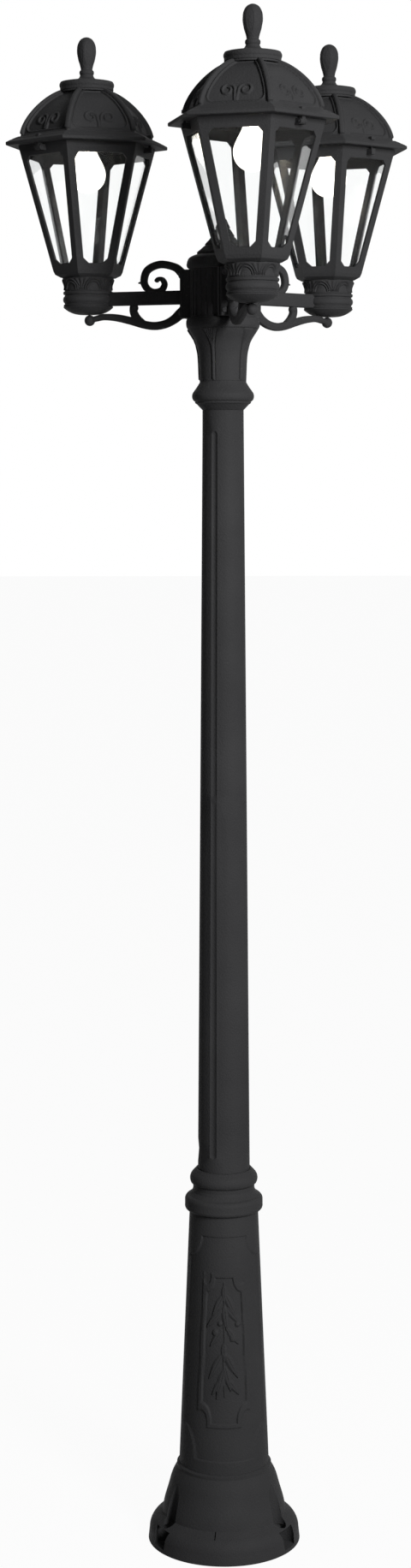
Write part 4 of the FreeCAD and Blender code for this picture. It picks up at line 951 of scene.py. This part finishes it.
# the finial's outline, in parts of its radius; its foot by millimetres, its club by parts of
# its height
FINIAL_FOOT_R = 1.16
FINIAL_FOOT = ((FINIAL_FOOT_R, 0), (0.92, 2.0), (0.80, 3.5), (0.68, 7.5), (0.74, 9),
               (0.76, 11.5), (0.73, 14), (0.61, 16))
FINIAL_CLUB = ((0.63, 0.28), (0.72, 0.36), (0.86, 0.46), (0.985, 0.60), (1, 0.70),
               (0.92, 0.82), (0.66, 0.93), (0.30, 0.985), (0, 1))
FACET_DEEP = 0.9
TAP_R, TAP_DEEP = 5.05, 12.0


def make_leaf_collar(side):
    """Round collar with six arched leaves: nested raised arcs, ellipses about the foot of each
    face's middle, and fans of straight veins, equal steps of angle about each corner's foot,
    between them."""
    node = lantern_node(side, "collar")
    axis, heading = lantern_place(side)
    low, high = extent(node)
    z0, z1 = low[2], high[2]
    angle = circle(420)
    profile = through(moved(COLLAR_FOOT, 0, z0) + moved(COLLAR_TOP, 0, z1), 60)
    radius, z = columns(profile)
    up = (z - z0) / (z1 - z0)
    across = across_face(angle[None, :])
    rho = np.hypot(across / ARC_ACROSS, (up - ARC_FOOT) / ARC_UP)
    arcs = 0.5 + 0.5 * np.cos((1.0 - rho) * 2 * np.pi / ARC_STEP)
    arcs = arcs * (rho > ARC_FROM) * (rho < ARC_TO)
    heart = 1 - rise(rho - 0.58, 0.06)
    lean = np.arctan2(up - 0.04, 1.0 - np.abs(across))
    fan = (0.5 + 0.5 * np.cos((lean - np.pi / 2) * FAN_VEINS)) * (rho >= ARC_TO)
    band = rise(up - 0.10, 0.03) * rise(0.90 - up, 0.03)
    rings = COLLAR_RING_HIGH * (bead(up - 0.95, 0.04) + bead(up - 0.05, 0.04))
    relief = band * (ARC_HIGH * arcs + HEART_HIGH * heart + FAN_HIGH * fan) + rings
    outer = around(radius + relief - COLLAR_SUNK, z, angle[None, :])
    inner = hoops([(COLLAR_MOUTH_R, z1), (COLLAR_CUP_R, z0 + COLLAR_FLOOR),
                   (NIPPLE_HOLE_R, z0 + COLLAR_FLOOR), (NIPPLE_HOLE_R, z0)], angle)
    p, q = shell(np.concatenate([outer, inner]))
    resin_piece(lantern_node(side, "leaf_collar"), [(turned(p, heading, axis), q)],
                "lantern_" + side, node)


def make_finial(side):
    """Club-shaped knob: a turned profile, pressed in at six shallow facets on its belly;
    tapped below."""
    node = lantern_node(side, "finial")
    axis, heading = lantern_place(side)
    low, high = extent(node)
    z0, h, r = low[2], high[2] - low[2], (high[0] - low[0]) / 2 / FINIAL_FOOT_R
    profile = through([(part * r, z0 + up) for part, up in FINIAL_FOOT]
                      + [(part * r, z0 + up * h) for part, up in FINIAL_CLUB], 80)
    radius, z = columns(profile)
    angle = circle(120)
    up = (z - z0) / h
    belly = rise(up - 0.36, 0.06) * rise(0.90 - up, 0.06)
    across = across_face(angle[None, :])
    facet = bead(np.hypot(across / 0.78, (up - 0.63) / 0.27), 1.0)
    pressed = FACET_DEEP * belly * facet ** 0.6
    outer = around(np.maximum(radius - pressed, 0), z, angle[None, :])
    inner = hoops([(0, z0 + TAP_DEEP), (TAP_R, z0 + TAP_DEEP), (TAP_R, z0)], angle)
    p, q = shell(np.concatenate([outer, inner]))
    resin_piece(lantern_node(side, "knob"), [(turned(p, heading, axis), q)], "roof_" + side, node)


for lantern_side in SIDES:
    make_roof(lantern_side)
    make_leaf_collar(lantern_side)
    make_finial(lantern_side)


# ------------------------------------------------------------------ floor, light and camera
FLOOR_HALF, FLOOR_Z = 40.0, -0.0005  # metres; just under the base
FLOOR_PLAIN = 0.96       # plain white part of the floor where it is seen
WORLD_LIGHT = 0.02


def make_floor():
    """A square of four corners. Its material is mostly plain white where it is seen, with
    some lit colour, so that the shadow stays."""
    mesh = bpy.data.meshes.new("floor")
    corners = [(-1, -1), (1, -1), (1, 1), (-1, 1)]
    mesh.from_pydata([(FLOOR_HALF * x, FLOOR_HALF * y, FLOOR_Z) for x, y in corners],
                     [], [(0, 1, 2, 3)])
    p = painted("pale_floor")
    speck = p.noise(3, 3.0, 0.5)
    lit = p.node("BsdfDiffuse", Color=p.blend(speck, (0.44, 0.44, 0.44), (0.50, 0.50, 0.50)))
    plain = p.node("Emission", Color=WHITE, Strength=1.0)
    mixed = p.node("MixShader", _0=p.seen() * FLOOR_PLAIN, _1=lit.outputs[0],
                   _2=plain.outputs[0])
    p.node("OutputMaterial", Surface=mixed.outputs[0])
    mesh.materials.append(p.owner)
    floor = bpy.data.objects.new("floor", mesh)
    bpy.context.scene.collection.objects.link(floor)


def make_world():
    """Dim even light on the object, and plain white where the camera, a gloss or a glass
    looks."""
    world = bpy.data.worlds.new("studio")
    bpy.context.scene.world = world
    p = Paint(world)
    dim = p.node("Background", Color=WHITE, Strength=WORLD_LIGHT)
    white = p.node("Background", Color=WHITE, Strength=1.0)
    mixed = p.node("MixShader", _0=p.seen(), _1=dim.outputs[0], _2=white.outputs[0])
    p.node("OutputWorld", Surface=mixed.outputs[0])


def soft_lamp(name, at, aim, size, power):
    """Rectangular lamp of size (wide, high) metres at a point, turned to face another."""
    data = bpy.data.lights.new(name, "AREA")
    data.shape = "RECTANGLE"
    data.size, data.size_y = size
    data.energy = power
    lamp = bpy.data.objects.new(name, data)
    bpy.context.scene.collection.objects.link(lamp)
    turn = (Vector(aim) - Vector(at)).to_track_quat("-Z", "Y")
    lamp.matrix_world = Matrix.Translation(at) @ turn.to_matrix().to_4x4()


make_floor()
make_world()
soft_lamp("key_right", (2.05, -3.55, 2.9), (0, 0, 1.8), (0.8, 1.9), 270)
soft_lamp("fill_high", (1.2, -2.4, 4.4), (0, 0, 2.0), (1.0, 1.0), 12)

# camera of the photograph, fitted to the three finials, the post and the base's ellipse
LENS = 59.75
SENSOR = 36.0
CLIP_END = 200.0
CAMERA_AT = (-0.0137, -4.3164, 1.8362)
CAMERA_DOWN = math.radians(6.943)
CAMERA_YAW = math.radians(0.215)
CAMERA_ROLL = math.radians(-0.103)

camera_data = bpy.data.cameras.new("photo_camera")
camera_data.lens = LENS
camera_data.sensor_width = SENSOR
camera_data.clip_end = CLIP_END
camera = bpy.data.objects.new("photo_camera", camera_data)
bpy.context.scene.collection.objects.link(camera)
camera.matrix_world = (Matrix.Translation(CAMERA_AT)
                       @ Matrix.Rotation(CAMERA_YAW, 4, "Z")
                       @ Matrix.Rotation(math.pi / 2 - CAMERA_DOWN, 4, "X")
                       @ Matrix.Rotation(CAMERA_ROLL, 4, "Z"))
bpy.context.scene.camera = camera
bpy.context.scene.view_settings.view_transform = "Standard"
